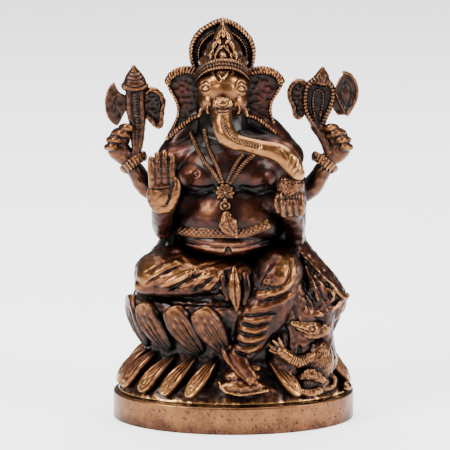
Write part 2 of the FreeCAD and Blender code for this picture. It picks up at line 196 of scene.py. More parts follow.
def sweep(wax: bmesh.types.BMesh, sections: list[Matrix], sides: int) -> None:
    """Draw a capped circle through a row of sections, leaving a closed form behind it.

    Args:
        wax: Mesh that the form goes in.
        sections: Matrices that lay the unit circle in place, one after the other.
        sides: Facets round the form.
    """
    made = bmesh.ops.create_circle(wax, cap_ends=True, radius=1.0, segments=sides)
    cap = made["verts"][0].link_faces[0]
    before = Matrix.Identity(4)
    for index, section in enumerate(sections):
        if index:
            grown = bmesh.ops.extrude_face_region(wax, geom=[cap])["geom"]
            if index > 1:
                bmesh.ops.delete(wax, geom=[cap], context="FACES_ONLY")
            cap = next(item for item in grown if isinstance(item, bmesh.types.BMFace))
        bmesh.ops.transform(wax, matrix=section @ before.inverted(), verts=cap.verts[:])
        before = section


def skinned(wax: bmesh.types.BMesh, grain: float) -> "Skin":
    """Turn one finished form into a skin.

    Args:
        wax: The form, closed; it is freed.
        grain: Size of its facets, in millimetres.

    Returns:
        The skin, ready for tooling.
    """
    bmesh.ops.recalc_face_normals(wax, faces=wax.faces[:])
    mesh = bpy.data.meshes.new("wax")
    wax.to_mesh(mesh)
    wax.free()
    return Skin(mesh, grain)


class Clay:
    """Wax forms that run into each other until they are fused into one skin."""

    def __init__(self) -> None:
        """Start with an empty board."""
        self.mesh = bmesh.new()

    def ball(self, at: Vector, radii: tuple[float, float, float],
             turn: tuple[float, float, float] = (0.0, 0.0, 0.0)) -> None:
        """Add an ellipsoid.

        Args:
            at: Its middle, in millimetres.
            radii: Half-sizes across, deep and tall.
            turn: Degrees about X, Y and Z.
        """
        matrix = (
            Matrix.Translation(at)
            @ Euler([math.radians(angle) for angle in turn]).to_matrix().to_4x4()
            @ Matrix.Diagonal((*radii, 1.0))
        )
        bmesh.ops.create_icosphere(self.mesh, subdivisions=4, radius=1.0, matrix=matrix)

    def roll(self, stations: list[Station], facing: Vector = FRONT, sides: int = 24,
             spacing: float = 1.0, blunt: float = 1.0) -> None:
        """Add a round-ended roll along a smooth path.

        Args:
            stations: Each is (across, drawn, deep, half-width, half-thickness), as for spot.
            facing: Direction that the roll's thickness is measured along.
            sides: Facets round the roll.
            spacing: Step along the path, in millimetres.
            blunt: Length of the round ends over the roll's half-thickness.
        """
        rows = np.array([(*spot(*station[:3]), *station[3:]) for station in stations])
        rows = flowing(rows, spacing)
        rows[:, 3:] = np.maximum(rows[:, 3:], 0.05)
        along = np.gradient(rows[:, :3], axis=0)
        along /= np.linalg.norm(along, axis=1)[:, None]
        bends = (80.0, 60.0, 38.0, 18.0)
        loops = [(self._rounded(rows[0], -along[0], bend, blunt), along[0]) for bend in bends]
        loops += list(zip(rows, along))
        loops += [(self._rounded(rows[-1], along[-1], bend, blunt), along[-1]) for bend in reversed(bends)]
        sweep(self.mesh, [self._section(row, Vector(way), facing) for row, way in loops], sides)

    @staticmethod
    def _rounded(row: np.ndarray, outwards: np.ndarray, bend: float, blunt: float) -> np.ndarray:
        """Section of a round end.

        Args:
            row: The full section's place and half-sizes.
            outwards: Direction of the end.
            bend: Degrees round from the full section.
            blunt: Length of the end over the half-thickness.

        Returns:
            Place and half-sizes of the section.
        """
        angle = math.radians(bend)
        shrunk = row.copy()
        shrunk[:3] += outwards * math.sin(angle) * min(row[3], row[4]) * blunt
        shrunk[3:] *= math.cos(angle)
        return shrunk

    @staticmethod
    def _section(row: np.ndarray, along: Vector, facing: Vector) -> Matrix:
        """Matrix that lays a unit circle across the path.

        Args:
            row: The section's place and half-sizes.
            along: Direction of the path.
            facing: Direction that the thickness is measured along.

        Returns:
            The matrix.
        """
        side = facing.cross(along).normalized()
        thick = along.cross(side).normalized()
        matrix = Matrix((side * row[3], thick * row[4], along)).transposed().to_4x4()
        matrix.translation = Vector(row[:3])
        return matrix

    def slab(self, outline: np.ndarray, deep: float, half_thick: float) -> None:
        """Add a flat plate that faces the front.

        Args:
            outline: Its outline on the front drawing.
            deep: Depth of its middle, in millimetres.
            half_thick: Half of its thickness.
        """
        made = bmesh.ops.create_circle(self.mesh, cap_ends=True, radius=1.0, segments=len(outline))
        corners = made["verts"]
        for vert, place in zip(corners, outline):
            vert.co = spot(*place, deep) + FRONT * half_thick
        grown = bmesh.ops.extrude_face_region(self.mesh, geom=corners[0].link_faces[:])["geom"]
        back = [item for item in grown if isinstance(item, bmesh.types.BMVert)]
        bmesh.ops.translate(self.mesh, vec=BACK * 2 * half_thick, verts=back)

    def fuse(self, grain: float, relax: int = 2) -> "Skin":
        """Fuse the forms into one closed skin.

        Args:
            grain: Size of the skin's facets, in millimetres.
            relax: Rounds of smoothing that take the facets' steps away.

        Returns:
            The skin, ready for tooling.
        """
        bmesh.ops.recalc_face_normals(self.mesh, faces=self.mesh.faces[:])
        rough = bpy.data.meshes.new("wax")
        self.mesh.to_mesh(rough)
        self.mesh.free()
        block = bpy.data.objects.new("wax", rough)
        bpy.context.scene.collection.objects.link(block)
        remesh = block.modifiers.new("fuse", "REMESH")
        remesh.mode = "VOXEL"
        remesh.voxel_size = grain
        depsgraph = bpy.context.evaluated_depsgraph_get()
        fused = bpy.data.meshes.new_from_object(block.evaluated_get(depsgraph))
        bpy.data.objects.remove(block)
        bpy.data.meshes.remove(rough)
        skin = Skin(fused, grain)
        skin.smooth(relax, 0.5)
        return skin


class Skin:
    """Closed skin whose points are pushed in and out along their normals by hand tools."""

    def __init__(self, mesh: bpy.types.Mesh, grain: float) -> None:
        """Read a mesh.

        Args:
            mesh: Closed mesh, in millimetres.
            grain: Size of its facets, in millimetres.
        """
        self.mesh = mesh
        self.grain = grain
        self.points = np.empty(len(mesh.vertices) * 3)
        mesh.vertices.foreach_get("co", self.points)
        self.points = self.points.reshape(-1, 3)
        self.edges = np.empty(len(mesh.edges) * 2, dtype=np.int32)
        mesh.edges.foreach_get("vertices", self.edges)
        self.edges = self.edges.reshape(-1, 2)
        self.degree = np.bincount(self.edges.ravel(), minlength=len(self.points))
        # Per-point tone: rubbed wear plus painted highlights and painted shade from the patches.
        self.worn_and_painted_light = np.zeros(len(self.points))
        self.refresh()

    def refresh(self) -> None:
        """Write the points back and read the normals again."""
        self.mesh.vertices.foreach_set("co", self.points.ravel())
        self.mesh.update()
        normals = np.empty(self.points.size, dtype=np.float32)
        self.mesh.vertex_normals.foreach_get("vector", normals)
        self.normals = normals.reshape(-1, 3).astype(float)
        height = self.points[:, 2] - BASE.z
        self.drawn = np.stack([
            self.points[:, 0] - BASE.x,
            (self.points[:, 1] - BASE.y) * math.sin(TILT) + height * math.cos(TILT),
        ], axis=1)

    def neighbours(self, values: np.ndarray) -> np.ndarray:
        """Average over each point's neighbours.

        Args:
            values: One row for each point.

        Returns:
            The averages, in the same shape.
        """
        start, end = self.edges[:, 0], self.edges[:, 1]
        columns = []
        for column in values.reshape(len(values), -1).T:
            total = np.bincount(start, column[end], len(values))
            total += np.bincount(end, column[start], len(values))
            columns.append(total / np.maximum(self.degree, 1))
        return np.stack(columns, axis=1).reshape(values.shape)

    def smooth(self, rounds: int, amount: float = 0.5) -> None:
        """Relax the points towards their neighbours.

        Args:
            rounds: Number of rounds.
            amount: Part of the way that a point goes in each round.
        """
        for _ in range(rounds):
            self.points += amount * (self.neighbours(self.points) - self.points)
        self.refresh()

    def push(self, height: np.ndarray) -> None:
        """Move each point along its normal by a height in millimetres."""
        self.points += self.normals * height[:, None]
        self.refresh()

    def facing(self, way: Vector = FRONT, low: float = 0.05, high: float = 0.35) -> np.ndarray:
        """How far each point faces a direction: 0 up to low, 1 from high on."""
        return ease(low, high, self.normals @ np.array(way.normalized()))

    def beside(self, path: np.ndarray) -> tuple[np.ndarray, np.ndarray, float]:
        """Measure each point against a drawn line.

        Args:
            path: Points of the line on the front drawing.

        Returns:
            The length along the line, the signed distance from it, and the line's whole length.
        """
        nearest = np.full(len(self.drawn), np.inf)
        length = np.zeros(len(self.drawn))
        offset = np.zeros(len(self.drawn))
        done = 0.0
        for start, end in zip(path[:-1], path[1:]):
            step = end - start
            size = max(float(np.hypot(*step)), 1e-6)
            part = np.clip(((self.drawn - start) @ step) / size ** 2, 0.0, 1.0)
            gap = self.drawn - start - part[:, None] * step
            distance = np.hypot(gap[:, 0], gap[:, 1])
            closer = distance < nearest
            side = np.sign(step[0] * gap[:, 1] - step[1] * gap[:, 0])
            nearest[closer] = distance[closer]
            length[closer] = done + part[closer] * size
            offset[closer] = (side * distance)[closer]
            done += size
        return length, offset, done

    def front_at(self, place: Spot, reach: float = 0.8) -> float:
        """Depth of the skin's foremost point at a spot of the front drawing.

        Args:
            place: The spot.
            reach: How far round the spot counts, in millimetres.

        Returns:
            The depth, in millimetres.
        """
        gap = np.hypot(self.drawn[:, 0] - place[0], self.drawn[:, 1] - place[1])
        near = gap < max(reach, gap.min() + 0.1)
        return float(self.points[near, 1].min() - BASE.y)

    def groove(self, path: np.ndarray, width: float, depth: float, taper: float = 1.5,
               mask: np.ndarray | None = None) -> None:
        """Cut a groove along a drawn line, or raise a ridge if the depth is negative.

        Args:
            path: The line, on the front drawing.
            width: Half-width of the cut, in millimetres.
            depth: Depth of the cut, in millimetres.
            taper: Length over which the cut runs out at each end.
            mask: Extra weight for each point; the front side by default.
        """
        length, offset, whole = self.beside(path)
        ends = 1.0
        if taper:
            ends = ease(-0.01, taper, length) * ease(-0.01, taper, whole - length)
        weight = self.facing() if mask is None else mask
        self.push(-depth * np.exp(-(offset / width) ** 2) * ends * weight)

    def hatch(self, path: np.ndarray, half_width: float, pitch: float, depth: float,
              slant: float = 0.0, mask: np.ndarray | None = None) -> None:
        """Chase a band of short strokes across a drawn line.

        Args:
            path: Middle line of the band.
            half_width: Half-width of the band, in millimetres.
            pitch: Distance between the strokes, in millimetres.
            depth: Depth of a stroke, in millimetres.
            slant: How far a stroke shifts along the line for each millimetre across it.
            mask: Extra weight for each point; the front side by default.
        """
        length, offset, whole = self.beside(path)
        inside = ease(-half_width, -half_width * 0.8, -np.abs(offset))
        inside *= ((length > 0) & (length < whole)).astype(float)
        wave = np.abs(np.cos(math.pi * (length + slant * offset) / pitch)) ** 0.7
        weight = self.facing() if mask is None else mask
        self.push(-depth * (1.0 - wave) * inside * weight)

    def dots(self, spots: list[Spot], radius: float, depth: float) -> None:
        """Punch round dots, or raise round beads if the depth is negative.

        Args:
            spots: Middles of the dots.
            radius: Radius of a dot, in millimetres.
            depth: Depth of a dot, in millimetres.
        """
        height = np.zeros(len(self.points))
        for middle in spots:
            gap = np.hypot(self.drawn[:, 0] - middle[0], self.drawn[:, 1] - middle[1])
            height -= depth * np.exp(-(gap / radius) ** 4)
        self.push(height * self.facing())

    def rub_and_paint_light(self, *patches: tuple[float, float, float, float, float]) -> None:
        """Paint patches of the front brighter, or darker if the amount is negative: rubbed wear mixed with
        painted highlights and painted shade.

        Args:
            patches: Each is (across, drawn, half-width, half-height, amount).
        """
        front = self.facing(low=-0.3, high=0.1)
        for across, drawn, wide, tall, amount in patches:
            gap = ((self.drawn[:, 0] - across) / wide) ** 2 + ((self.drawn[:, 1] - drawn) / tall) ** 2
            self.worn_and_painted_light += amount * np.exp(-gap) * front

    def grain_noise(self, size: float, height: float, seed: float = 0.0) -> None:
        """Roughen the surface like hand-worked wax, with soft noise of one size.

        Args:
            size: Size of the bumps, in millimetres.
            height: Their height, in millimetres.
            seed: Shift of the noise.
        """
        offset = Vector((seed, seed * 0.7, seed * 1.3))
        values = np.array([noise.noise(Vector(point) / size + offset) for point in self.points])
        self.push(values * height)

    def heights(self, reach: float) -> np.ndarray:
        """Measure each point against a copy that is smoothed.

        Args:
            reach: How far the smoothing goes, in millimetres.

        Returns:
            Each point's height over the copy, in millimetres.
        """
        soft = self.points.copy()
        for _ in range(max(2, round((reach / self.grain) ** 2))):
            soft += 0.6 * (self.neighbours(soft) - soft)
        return np.sum((self.points - soft) * self.normals, axis=1)


# ------------------------------------------------------------------------------------------
# Finishes
# ------------------------------------------------------------------------------------------

def srgb(code: str) -> tuple[float, float, float, float]:
    """Turn an sRGB hex code into a linear colour.

    Args:
        code: The code, with its hash sign.

    Returns:
        Red, green, blue and alpha.
    """
    parts = [int(code[index:index + 2], 16) / 255 for index in (1, 3, 5)]
    linear = [part / 12.92 if part <= 0.04045 else ((part + 0.055) / 1.055) ** 2.4 for part in parts]
    return (*linear, 1.0)


class Slot(Enum):
    """Material groups, whose names begin the materials' names."""

    PLINTH = "plinth_brass"
    DARK = "dark_brass"
    RUDDY = "ruddy_brass"
    PETAL = "petal_brass"
    FOLD = "fold_brass"
    BRIGHT = "bright_brass"
    TOOL = "tool_brass"
    CHASED = "chased_brass"
    MOUSE = "mouse_brass"
    EAR = "ear_brass"


@dataclass(frozen=True)
class AntiqueBrass:
    """Cast brass, darkened all over and then rubbed back: bright on what stands out, black in the hollows.

    Attributes:
        slot: Group whose name begins the material's name.
        rub_and_paint_light: How far the flat of the surface is rubbed, from 0, black, to 1, bright.
        edge: How much small ridges gain over the flat, for each tenth of a millimetre.
        swell: How much broad swellings gain, for each millimetre.
        hollow: How much the hollows between the forms lose.
        patch: Strength of the uneven rubbing.
        ruddy: Colour of half-rubbed metal.
        brass: Colour of rubbed metal.
        glow: Colour of the brightest metal.
        gloss: Roughness of rubbed metal.
    """

    slot: Slot
    rub_and_paint_light: float = 0.5
    edge: float = 0.12
    swell: float = 0.2
    hollow: float = 0.8
    patch: float = 0.4
    ruddy: str = "#452618"
    brass: str = "#80532C"
    glow: str = "#C4935A"
    gloss: float = 0.25

    # Sizes of the patterns, in millimetres: cloudy rubbing, scuffs, casting grain, and the
    # noise whose peaks are the black pinholes, 0.3 to 0.8 mm across.
    CLOUD: ClassVar[float] = 9.0
    SCUFF: ClassVar[float] = 1.2
    GRIT: ClassVar[float] = 0.5
    SPECK: ClassVar[float] = 1.6
    PINHOLE: ClassVar[tuple[float, float]] = (0.64, 0.72)
    SOOT: ClassVar[float] = -0.2
    # How far a hollow reaches, and how open the flat of the surface is.
    HOLLOW_REACH: ClassVar[float] = 7.0
    OPEN: ClassVar[float] = 0.8
    BUMP_HEIGHT: ClassVar[float] = 0.14

    def material(self) -> bpy.types.Material:
        """Build the node tree, once for each finish.

        Returns:
            The material.
        """
        name = "%s_%02.0f" % (self.slot.value, self.rub_and_paint_light * 100)
        if name in bpy.data.materials:
            return bpy.data.materials[name]
        made = bpy.data.materials.new(name)
        made.use_nodes = True
        tree = made.node_tree
        tree.nodes.clear()
        place = add_node(tree, "ShaderNodeTexCoord")
        fine = add_node(tree, "ShaderNodeAttribute", attribute_name="relief")
        broad = add_node(tree, "ShaderNodeAttribute", attribute_name="swell")
        worn_and_painted_light = add_node(tree, "ShaderNodeAttribute", attribute_name="worn_and_painted_light")
        shade = add_node(
            tree, "ShaderNodeAmbientOcclusion", samples=6, inputs={"Distance": self.HOLLOW_REACH * MM})
        clouds = add_node(tree, "ShaderNodeTexNoise", inputs={
            "Vector": place.outputs["Object"], "Scale": 1 / (self.CLOUD * MM), "Detail": 3.0,
            "Roughness": 0.6})
        scuffs = add_node(tree, "ShaderNodeTexNoise", inputs={
            "Vector": place.outputs["Object"], "Scale": 1 / (self.SCUFF * MM), "Detail": 2.0,
            "Roughness": 0.7})
        # Black specks of soot that stay in the casting's pinholes.
        specks = add_node(tree, "ShaderNodeTexNoise", inputs={
            "Vector": place.outputs["Object"], "Scale": 1 / (self.SPECK * MM), "Detail": 1.0,
            "Roughness": 0.5})
        holes = add_node(tree, "ShaderNodeMapRange", inputs={
            "Value": specks.outputs["Fac"], "From Min": self.PINHOLE[0], "From Max": self.PINHOLE[1],
            "To Min": 0.0, "To Max": 1.0})
        total = self._sum(tree, [
            # Per-point tone, which carries rubbed wear and the painted highlights and painted shade of the
            # patches.
            (worn_and_painted_light.outputs["Fac"], 1.0, 0.0),
            (holes.outputs["Result"], self.SOOT, 0.0),
            (fine.outputs["Fac"], self.edge * 10.0, 0.0),
            (broad.outputs["Fac"], self.swell, 0.0),
            (shade.outputs["AO"], self.hollow, -self.OPEN * self.hollow),
            (clouds.outputs["Fac"], self.patch, -0.5 * self.patch),
            (scuffs.outputs["Fac"], 0.5 * self.patch, -0.25 * self.patch),
        ])
        ramp = add_node(tree, "ShaderNodeValToRGB", inputs={"Fac": total})
        stops = [
            (0.0, "#090606"), (0.22, "#1C110D"), (0.42, self.ruddy), (0.68, self.brass), (1.0, self.glow)]
        while len(ramp.color_ramp.elements) < len(stops):
            ramp.color_ramp.elements.new(0.5)
        for element, (position, colour) in zip(ramp.color_ramp.elements, stops):
            element.position = position
            element.color = srgb(colour)
        rough = add_node(tree, "ShaderNodeMapRange", inputs={
            "Value": total, "From Min": 0.1, "From Max": 0.8, "To Min": 0.5, "To Max": self.gloss})
        # Casting grain, which dulls the flat without showing as a pattern.
        grit = add_node(tree, "ShaderNodeTexNoise", inputs={
            "Vector": place.outputs["Object"], "Scale": 1 / (self.GRIT * MM), "Detail": 2.0})
        bump = add_node(tree, "ShaderNodeBump", inputs={
            "Height": grit.outputs["Fac"], "Strength": 0.45, "Distance": self.BUMP_HEIGHT * MM})
        metal = add_node(tree, "ShaderNodeBsdfPrincipled", inputs={
            "Base Color": ramp.outputs["Color"], "Roughness": rough.outputs["Result"], "Metallic": 1.0,
            "Coat Weight": 0.25, "Coat Roughness": 0.25, "Normal": bump.outputs["Normal"]})
        add_node(tree, "ShaderNodeOutputMaterial", inputs={"Surface": metal.outputs["BSDF"]})
        return made

    def _sum(self, tree: bpy.types.NodeTree,
             terms: list[tuple[bpy.types.NodeSocket, float, float]]) -> bpy.types.NodeSocket:
        """Add up weighted readings on top of the rub level.

        Args:
            tree: The material's node tree.
            terms: Each is a socket, its factor and what is added after.

        Returns:
            The socket of the sum.
        """
        level = self.rub_and_paint_light + sum(offset for _, _, offset in terms)
        before: bpy.types.NodeSocket | float = level
        for socket, factor, _ in terms:
            step = add_node(tree, "ShaderNodeMath", operation="MULTIPLY_ADD",
                            inputs={0: socket, 1: factor, 2: before})
            before = step.outputs["Value"]
        return before


def add_node(tree: bpy.types.NodeTree, kind: str, inputs: dict | None = None, **settings) -> bpy.types.Node:
    """Add a node with its settings and links.

    Args:
        tree: The tree that it goes in.
        kind: The node's type.
        inputs: For each input, by name or number, a value or the socket that feeds it.
        settings: Properties of the node itself.

    Returns:
        The node.
    """
    made = tree.nodes.new(kind)
    for name, value in settings.items():
        setattr(made, name, value)
    for name, value in (inputs or {}).items():
        if isinstance(value, bpy.types.NodeSocket):
            tree.links.new(value, made.inputs[name])
        else:
            made.inputs[name].default_value = value
    return made


FACE_BRASS = AntiqueBrass(Slot.BRIGHT, rub_and_paint_light=0.53, edge=0.08, hollow=0.5, patch=0.3)
HAND_BRASS = AntiqueBrass(Slot.BRIGHT, rub_and_paint_light=0.27, edge=0.06, hollow=0.6, patch=0.3)
PETAL_BRASS = AntiqueBrass(Slot.PETAL, rub_and_paint_light=0.37, hollow=0.5)
BLADE_BRASS = AntiqueBrass(Slot.PETAL, rub_and_paint_light=0.6, hollow=0.5)
FOLD_BRASS = AntiqueBrass(Slot.FOLD, rub_and_paint_light=0.37, edge=0.07, hollow=0.5, ruddy="#4A2416")
SHIN_BRASS = AntiqueBrass(Slot.FOLD, rub_and_paint_light=0.22, edge=0.07, hollow=0.5, ruddy="#45200F")
ARM_BRASS = AntiqueBrass(Slot.BRIGHT, rub_and_paint_light=0.18, patch=0.25, brass="#74492A")
RUDDY_BRASS = AntiqueBrass(Slot.RUDDY, rub_and_paint_light=0.13, ruddy="#35160F", brass="#6A402A", glow="#B48A60")
SASH_BRASS = AntiqueBrass(Slot.RUDDY, rub_and_paint_light=0.23, ruddy="#35160F", brass="#74492A")
DARK_BRASS = AntiqueBrass(Slot.DARK, rub_and_paint_light=0.2, hollow=0.5)
HALO_BRASS = AntiqueBrass(Slot.DARK, rub_and_paint_light=0.35, hollow=0.5)
PLINTH_BRASS = AntiqueBrass(Slot.PLINTH, rub_and_paint_light=0.5, hollow=0.3, brass="#8A5C35", glow="#B5824F")
TOOL_BRASS = AntiqueBrass(Slot.TOOL, rub_and_paint_light=0.16, edge=0.09, hollow=0.6, patch=0.2)
CHASED_BRASS = AntiqueBrass(Slot.CHASED, rub_and_paint_light=0.26, edge=0.07)
CHAIN_BRASS = AntiqueBrass(Slot.CHASED, rub_and_paint_light=0.22, edge=0.07)
CREST_BRASS = AntiqueBrass(Slot.CHASED, rub_and_paint_light=0.42, edge=0.09, hollow=0.6)
MOUSE_BRASS = AntiqueBrass(Slot.MOUSE, rub_and_paint_light=0.29, edge=0.1)
EAR_BRASS = AntiqueBrass(Slot.EAR, rub_and_paint_light=0.21, patch=0.2, ruddy="#40190F")


def cast(name: str, skin: Skin, finish: AntiqueBrass, *nodes: str) -> bpy.types.Object:
    """Turn a tooled skin into a finished piece.

    Args:
        name: Name of the piece.
        skin: The tooled skin.
        finish: Its finish.
        nodes: CAD nodes that the piece stands for.

    Returns:
        The piece.
    """
    mesh = skin.mesh
    for label, reach in (("relief", 0.9), ("swell", 4.0)):
        layer = mesh.attributes.new(label, "FLOAT", "POINT")
        layer.data.foreach_set("value", skin.heights(reach).astype(np.float32))
    # Per-point tone with rubbed wear, painted highlights and painted shade, read by the material.
    layer = mesh.attributes.new("worn_and_painted_light", "FLOAT", "POINT")
    layer.data.foreach_set("value", skin.worn_and_painted_light.astype(np.float32))
    mesh.vertices.foreach_set("co", (skin.points * MM).ravel())
    mesh.name = name
    mesh.shade_smooth()
    mesh.update()
    mesh.materials.append(finish.material())
    piece = bpy.data.objects.new(name, mesh)
    bpy.context.scene.collection.objects.link(piece)
    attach(piece, "root")
    if nodes:
        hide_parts(*nodes)
    LOG.info("%s: %d faces", name, len(mesh.polygons))
    return piece


# ------------------------------------------------------------------------------------------
# Plinth and lotus
# ------------------------------------------------------------------------------------------

def refinish(node: str, finish: AntiqueBrass) -> None:
    """Give a CAD node that stays in sight its finish.

    Args:
        node: Name of the CAD node.
        finish: Its finish.
    """
    piece = bpy.data.objects[node]
    piece.data.materials.clear()
    piece.data.materials.append(finish.material())


@dataclass(frozen=True)
class Petal:
    """One cast lotus petal: a spoon with a raised rim, three veins from its root and three punched pits.

    Attributes:
        name: Name of the piece.
        root: Place of its root, in millimetres.
        tip: Place of its tip.
        out: Direction that its face looks.
        half_width: Half of its greatest width.
        thick: Half of its thickness.
        bulge: How far its middle stands out from the line between root and tip.
        node: CAD node that it stands for.
        finish: Its finish.
        fineness: Subdivisions of its blank.
    """

    name: str
    root: Vector
    tip: Vector
    out: Vector
    half_width: float
    thick: float
    bulge: float
    node: str
    finish: AntiqueBrass
    fineness: int

    # Subdivisions of the blanks in front and behind, and the size of their facets in millimetres.
    FINE: ClassVar[int] = 6
    COARSE: ClassVar[int] = 5
    FINE_GRAIN: ClassVar[float] = 0.45
    COARSE_GRAIN: ClassVar[float] = 0.9

    def make(self) -> bpy.types.Object:
        """Shape, vein and finish the petal.

        Returns:
            The piece.
        """
        wax = bmesh.new()
        bmesh.ops.create_icosphere(wax, subdivisions=self.fineness, radius=1.0)
        # Tone along the petal: darker at the root, brighter towards the tip.
        rubbed = [0.28 * self._smooth(0.3, 0.9, vert.co.z) + 0.3 * self._smooth(-1.0, -0.1, vert.co.z) - 0.3
                  for vert in wax.verts]
        for vert in wax.verts:
            vert.co = self._shaped(vert.co)
        skin = skinned(wax, self.FINE_GRAIN if self.fineness == self.FINE else self.COARSE_GRAIN)
        skin.grain_noise(2.5, 0.18, self.root.x)
        skin.worn_and_painted_light += np.array(rubbed)
        return cast(self.name, skin, self.finish, self.node)

    def _shaped(self, point: Vector) -> Vector:
        """Place one point of a unit ball on the petal.

        Args:
            point: The point: Z runs to the petal's tip and -Y looks out.

        Returns:
            Its place, in millimetres.
        """
        across, deep, along = point
        radius = min(1.0, math.hypot(across, along))
        lens = max(0.0, 1.0 - radius ** 2)
        height = -math.copysign(self.thick * lens ** 0.42, deep)
        if deep < 0.0:
            rim = 0.6 * math.exp(-((radius - 0.8) / 0.12) ** 2) * lens ** 0.2
            dish = 0.15 * self.thick * lens
            height += rim * self._smooth(-0.4, 0.4, along) - dish - self._marks(across, along)
        part = 0.5 + 0.5 * math.sin(0.5 * math.pi * along)
        middle = (self.root + self.tip) / 2.0 + self.out * 2.0 * self.bulge
        centre = self.root * (1 - part) ** 2 + middle * 2 * part * (1 - part) + self.tip * part ** 2
        way = ((middle - self.root) * (1 - part) + (self.tip - middle) * part).normalized()
        side = self.out.cross(way).normalized()
        out = way.cross(side).normalized()
        width = self.half_width * (0.5 + 0.6 * self._smooth(-1.0, 0.3, along))
        return centre + side * across * width + out * height

    def _marks(self, across: float, along: float) -> float:
        """Depth of the veins and pits at one place of the petal's face.

        Args:
            across: The place across the petal, from -1 to 1.
            along: The place along it, from -1 at the root to 1 at the tip.

        Returns:
            The depth, in millimetres.
        """
        depth = 0.0
        for index in (-1, 0, 1):
            vein = index * (0.24 + 0.16 * (along + 1.0))
            reach = self._smooth(-1.0, -0.75, along) * (1 - self._smooth(0.05, 0.3, along))
            depth += 0.9 * math.exp(-((across - vein) / 0.09) ** 2) * reach
            pit = math.hypot(across - 0.36 * index, (along - 0.34 + 0.1 * abs(index)) * 1.6)
            depth += 0.6 * math.exp(-(pit / 0.11) ** 2)
        return depth

    @staticmethod
    def _smooth(low: float, high: float, value: float) -> float:
        """Smooth step of a single number, for the many points of a blank.

        Args:
            low: Value up to which it is 0.
            high: Value from which it is 1.
            value: The number.

        Returns:
            Its weight, from 0 to 1.
        """
        part = min(1.0, max(0.0, (value - low) / (high - low)))
        return part * part * (3.0 - 2.0 * part)


@dataclass(frozen=True)
class PetalRow:
    """Row of petals round the oval lotus, leaning away from the front.

    Attributes:
        label: Name stem of its pieces and of its CAD nodes.
        front: Angle of each front petal, in degrees to the figure's left of the front.
        lean: Half of a petal's lean round the lotus, in degrees.
        root: Half-sizes of the root's oval, across and deep, and its height.
        tip: The same of the tip's oval.
        half_width: Half of a petal's width.
        thick: Half of a petal's thickness.
        bulge: How far a petal's middle stands out.
        rise: How far the face looks up, from 0 to 1.
        finish: Finish of its petals.
    """

    label: str
    front: tuple[float, ...]
    lean: float
    root: tuple[float, float, float]
    tip: tuple[float, float, float]
    half_width: float
    thick: float
    bulge: float
    rise: float
    finish: AntiqueBrass

    # Angles of the plain petals behind, which are the same in both rows.
    BACK_ANGLES: ClassVar[tuple[float, ...]] = (
        79.0, 103.0, 127.0, 151.0, 176.0, -160.0, -134.0, -108.0, -80.0)

    def make(self) -> None:
        """Make every petal of the row."""
        for index, angle in enumerate(self.front, start=1):
            name = "%s_petal_%d" % (self.label, index)
            self._petal(name, angle, name, Petal.FINE)
        for index, angle in enumerate(self.BACK_ANGLES, start=1):
            name = "%s_petal_back_%d" % (self.label, index)
            self._petal(name, angle, "%s_petals_back" % self.label, Petal.COARSE)

    def _petal(self, name: str, angle: float, node: str, fineness: int) -> None:
        """Place and make one petal.

        Args:
            name: Name of its piece.
            angle: Its angle, in degrees to the figure's left of the front.
            node: CAD node that it stands for.
            fineness: Subdivisions of its blank.
        """
        lean = math.copysign(self.lean * min(1.0, (180.0 - abs(angle)) / 50.0), angle)
        root = self._on_oval(angle - lean, self.root)
        tip = self._on_oval(angle + lean, self.tip)
        out = self._on_oval(angle, (self.tip[1], self.tip[0], 0.0))
        out = (Vector((out.x, out.y, 0.0)).normalized() + UP * self.rise).normalized()
        Petal(
            name, root, tip, out, self.half_width, self.thick, self.bulge, node, self.finish, fineness).make()

    @staticmethod
    def _on_oval(angle: float, oval: tuple[float, float, float]) -> Vector:
        """Point of an oval round the base's middle.

        Args:
            angle: Degrees to the figure's left of the front.
            oval: Half-sizes across and deep, and height over the base.

        Returns:
            The point, in millimetres.
        """
        turn = math.radians(angle)
        return Vector((
            BASE.x + oval[0] * math.sin(turn), BASE.y - oval[1] * math.cos(turn), BASE.z + oval[2]))


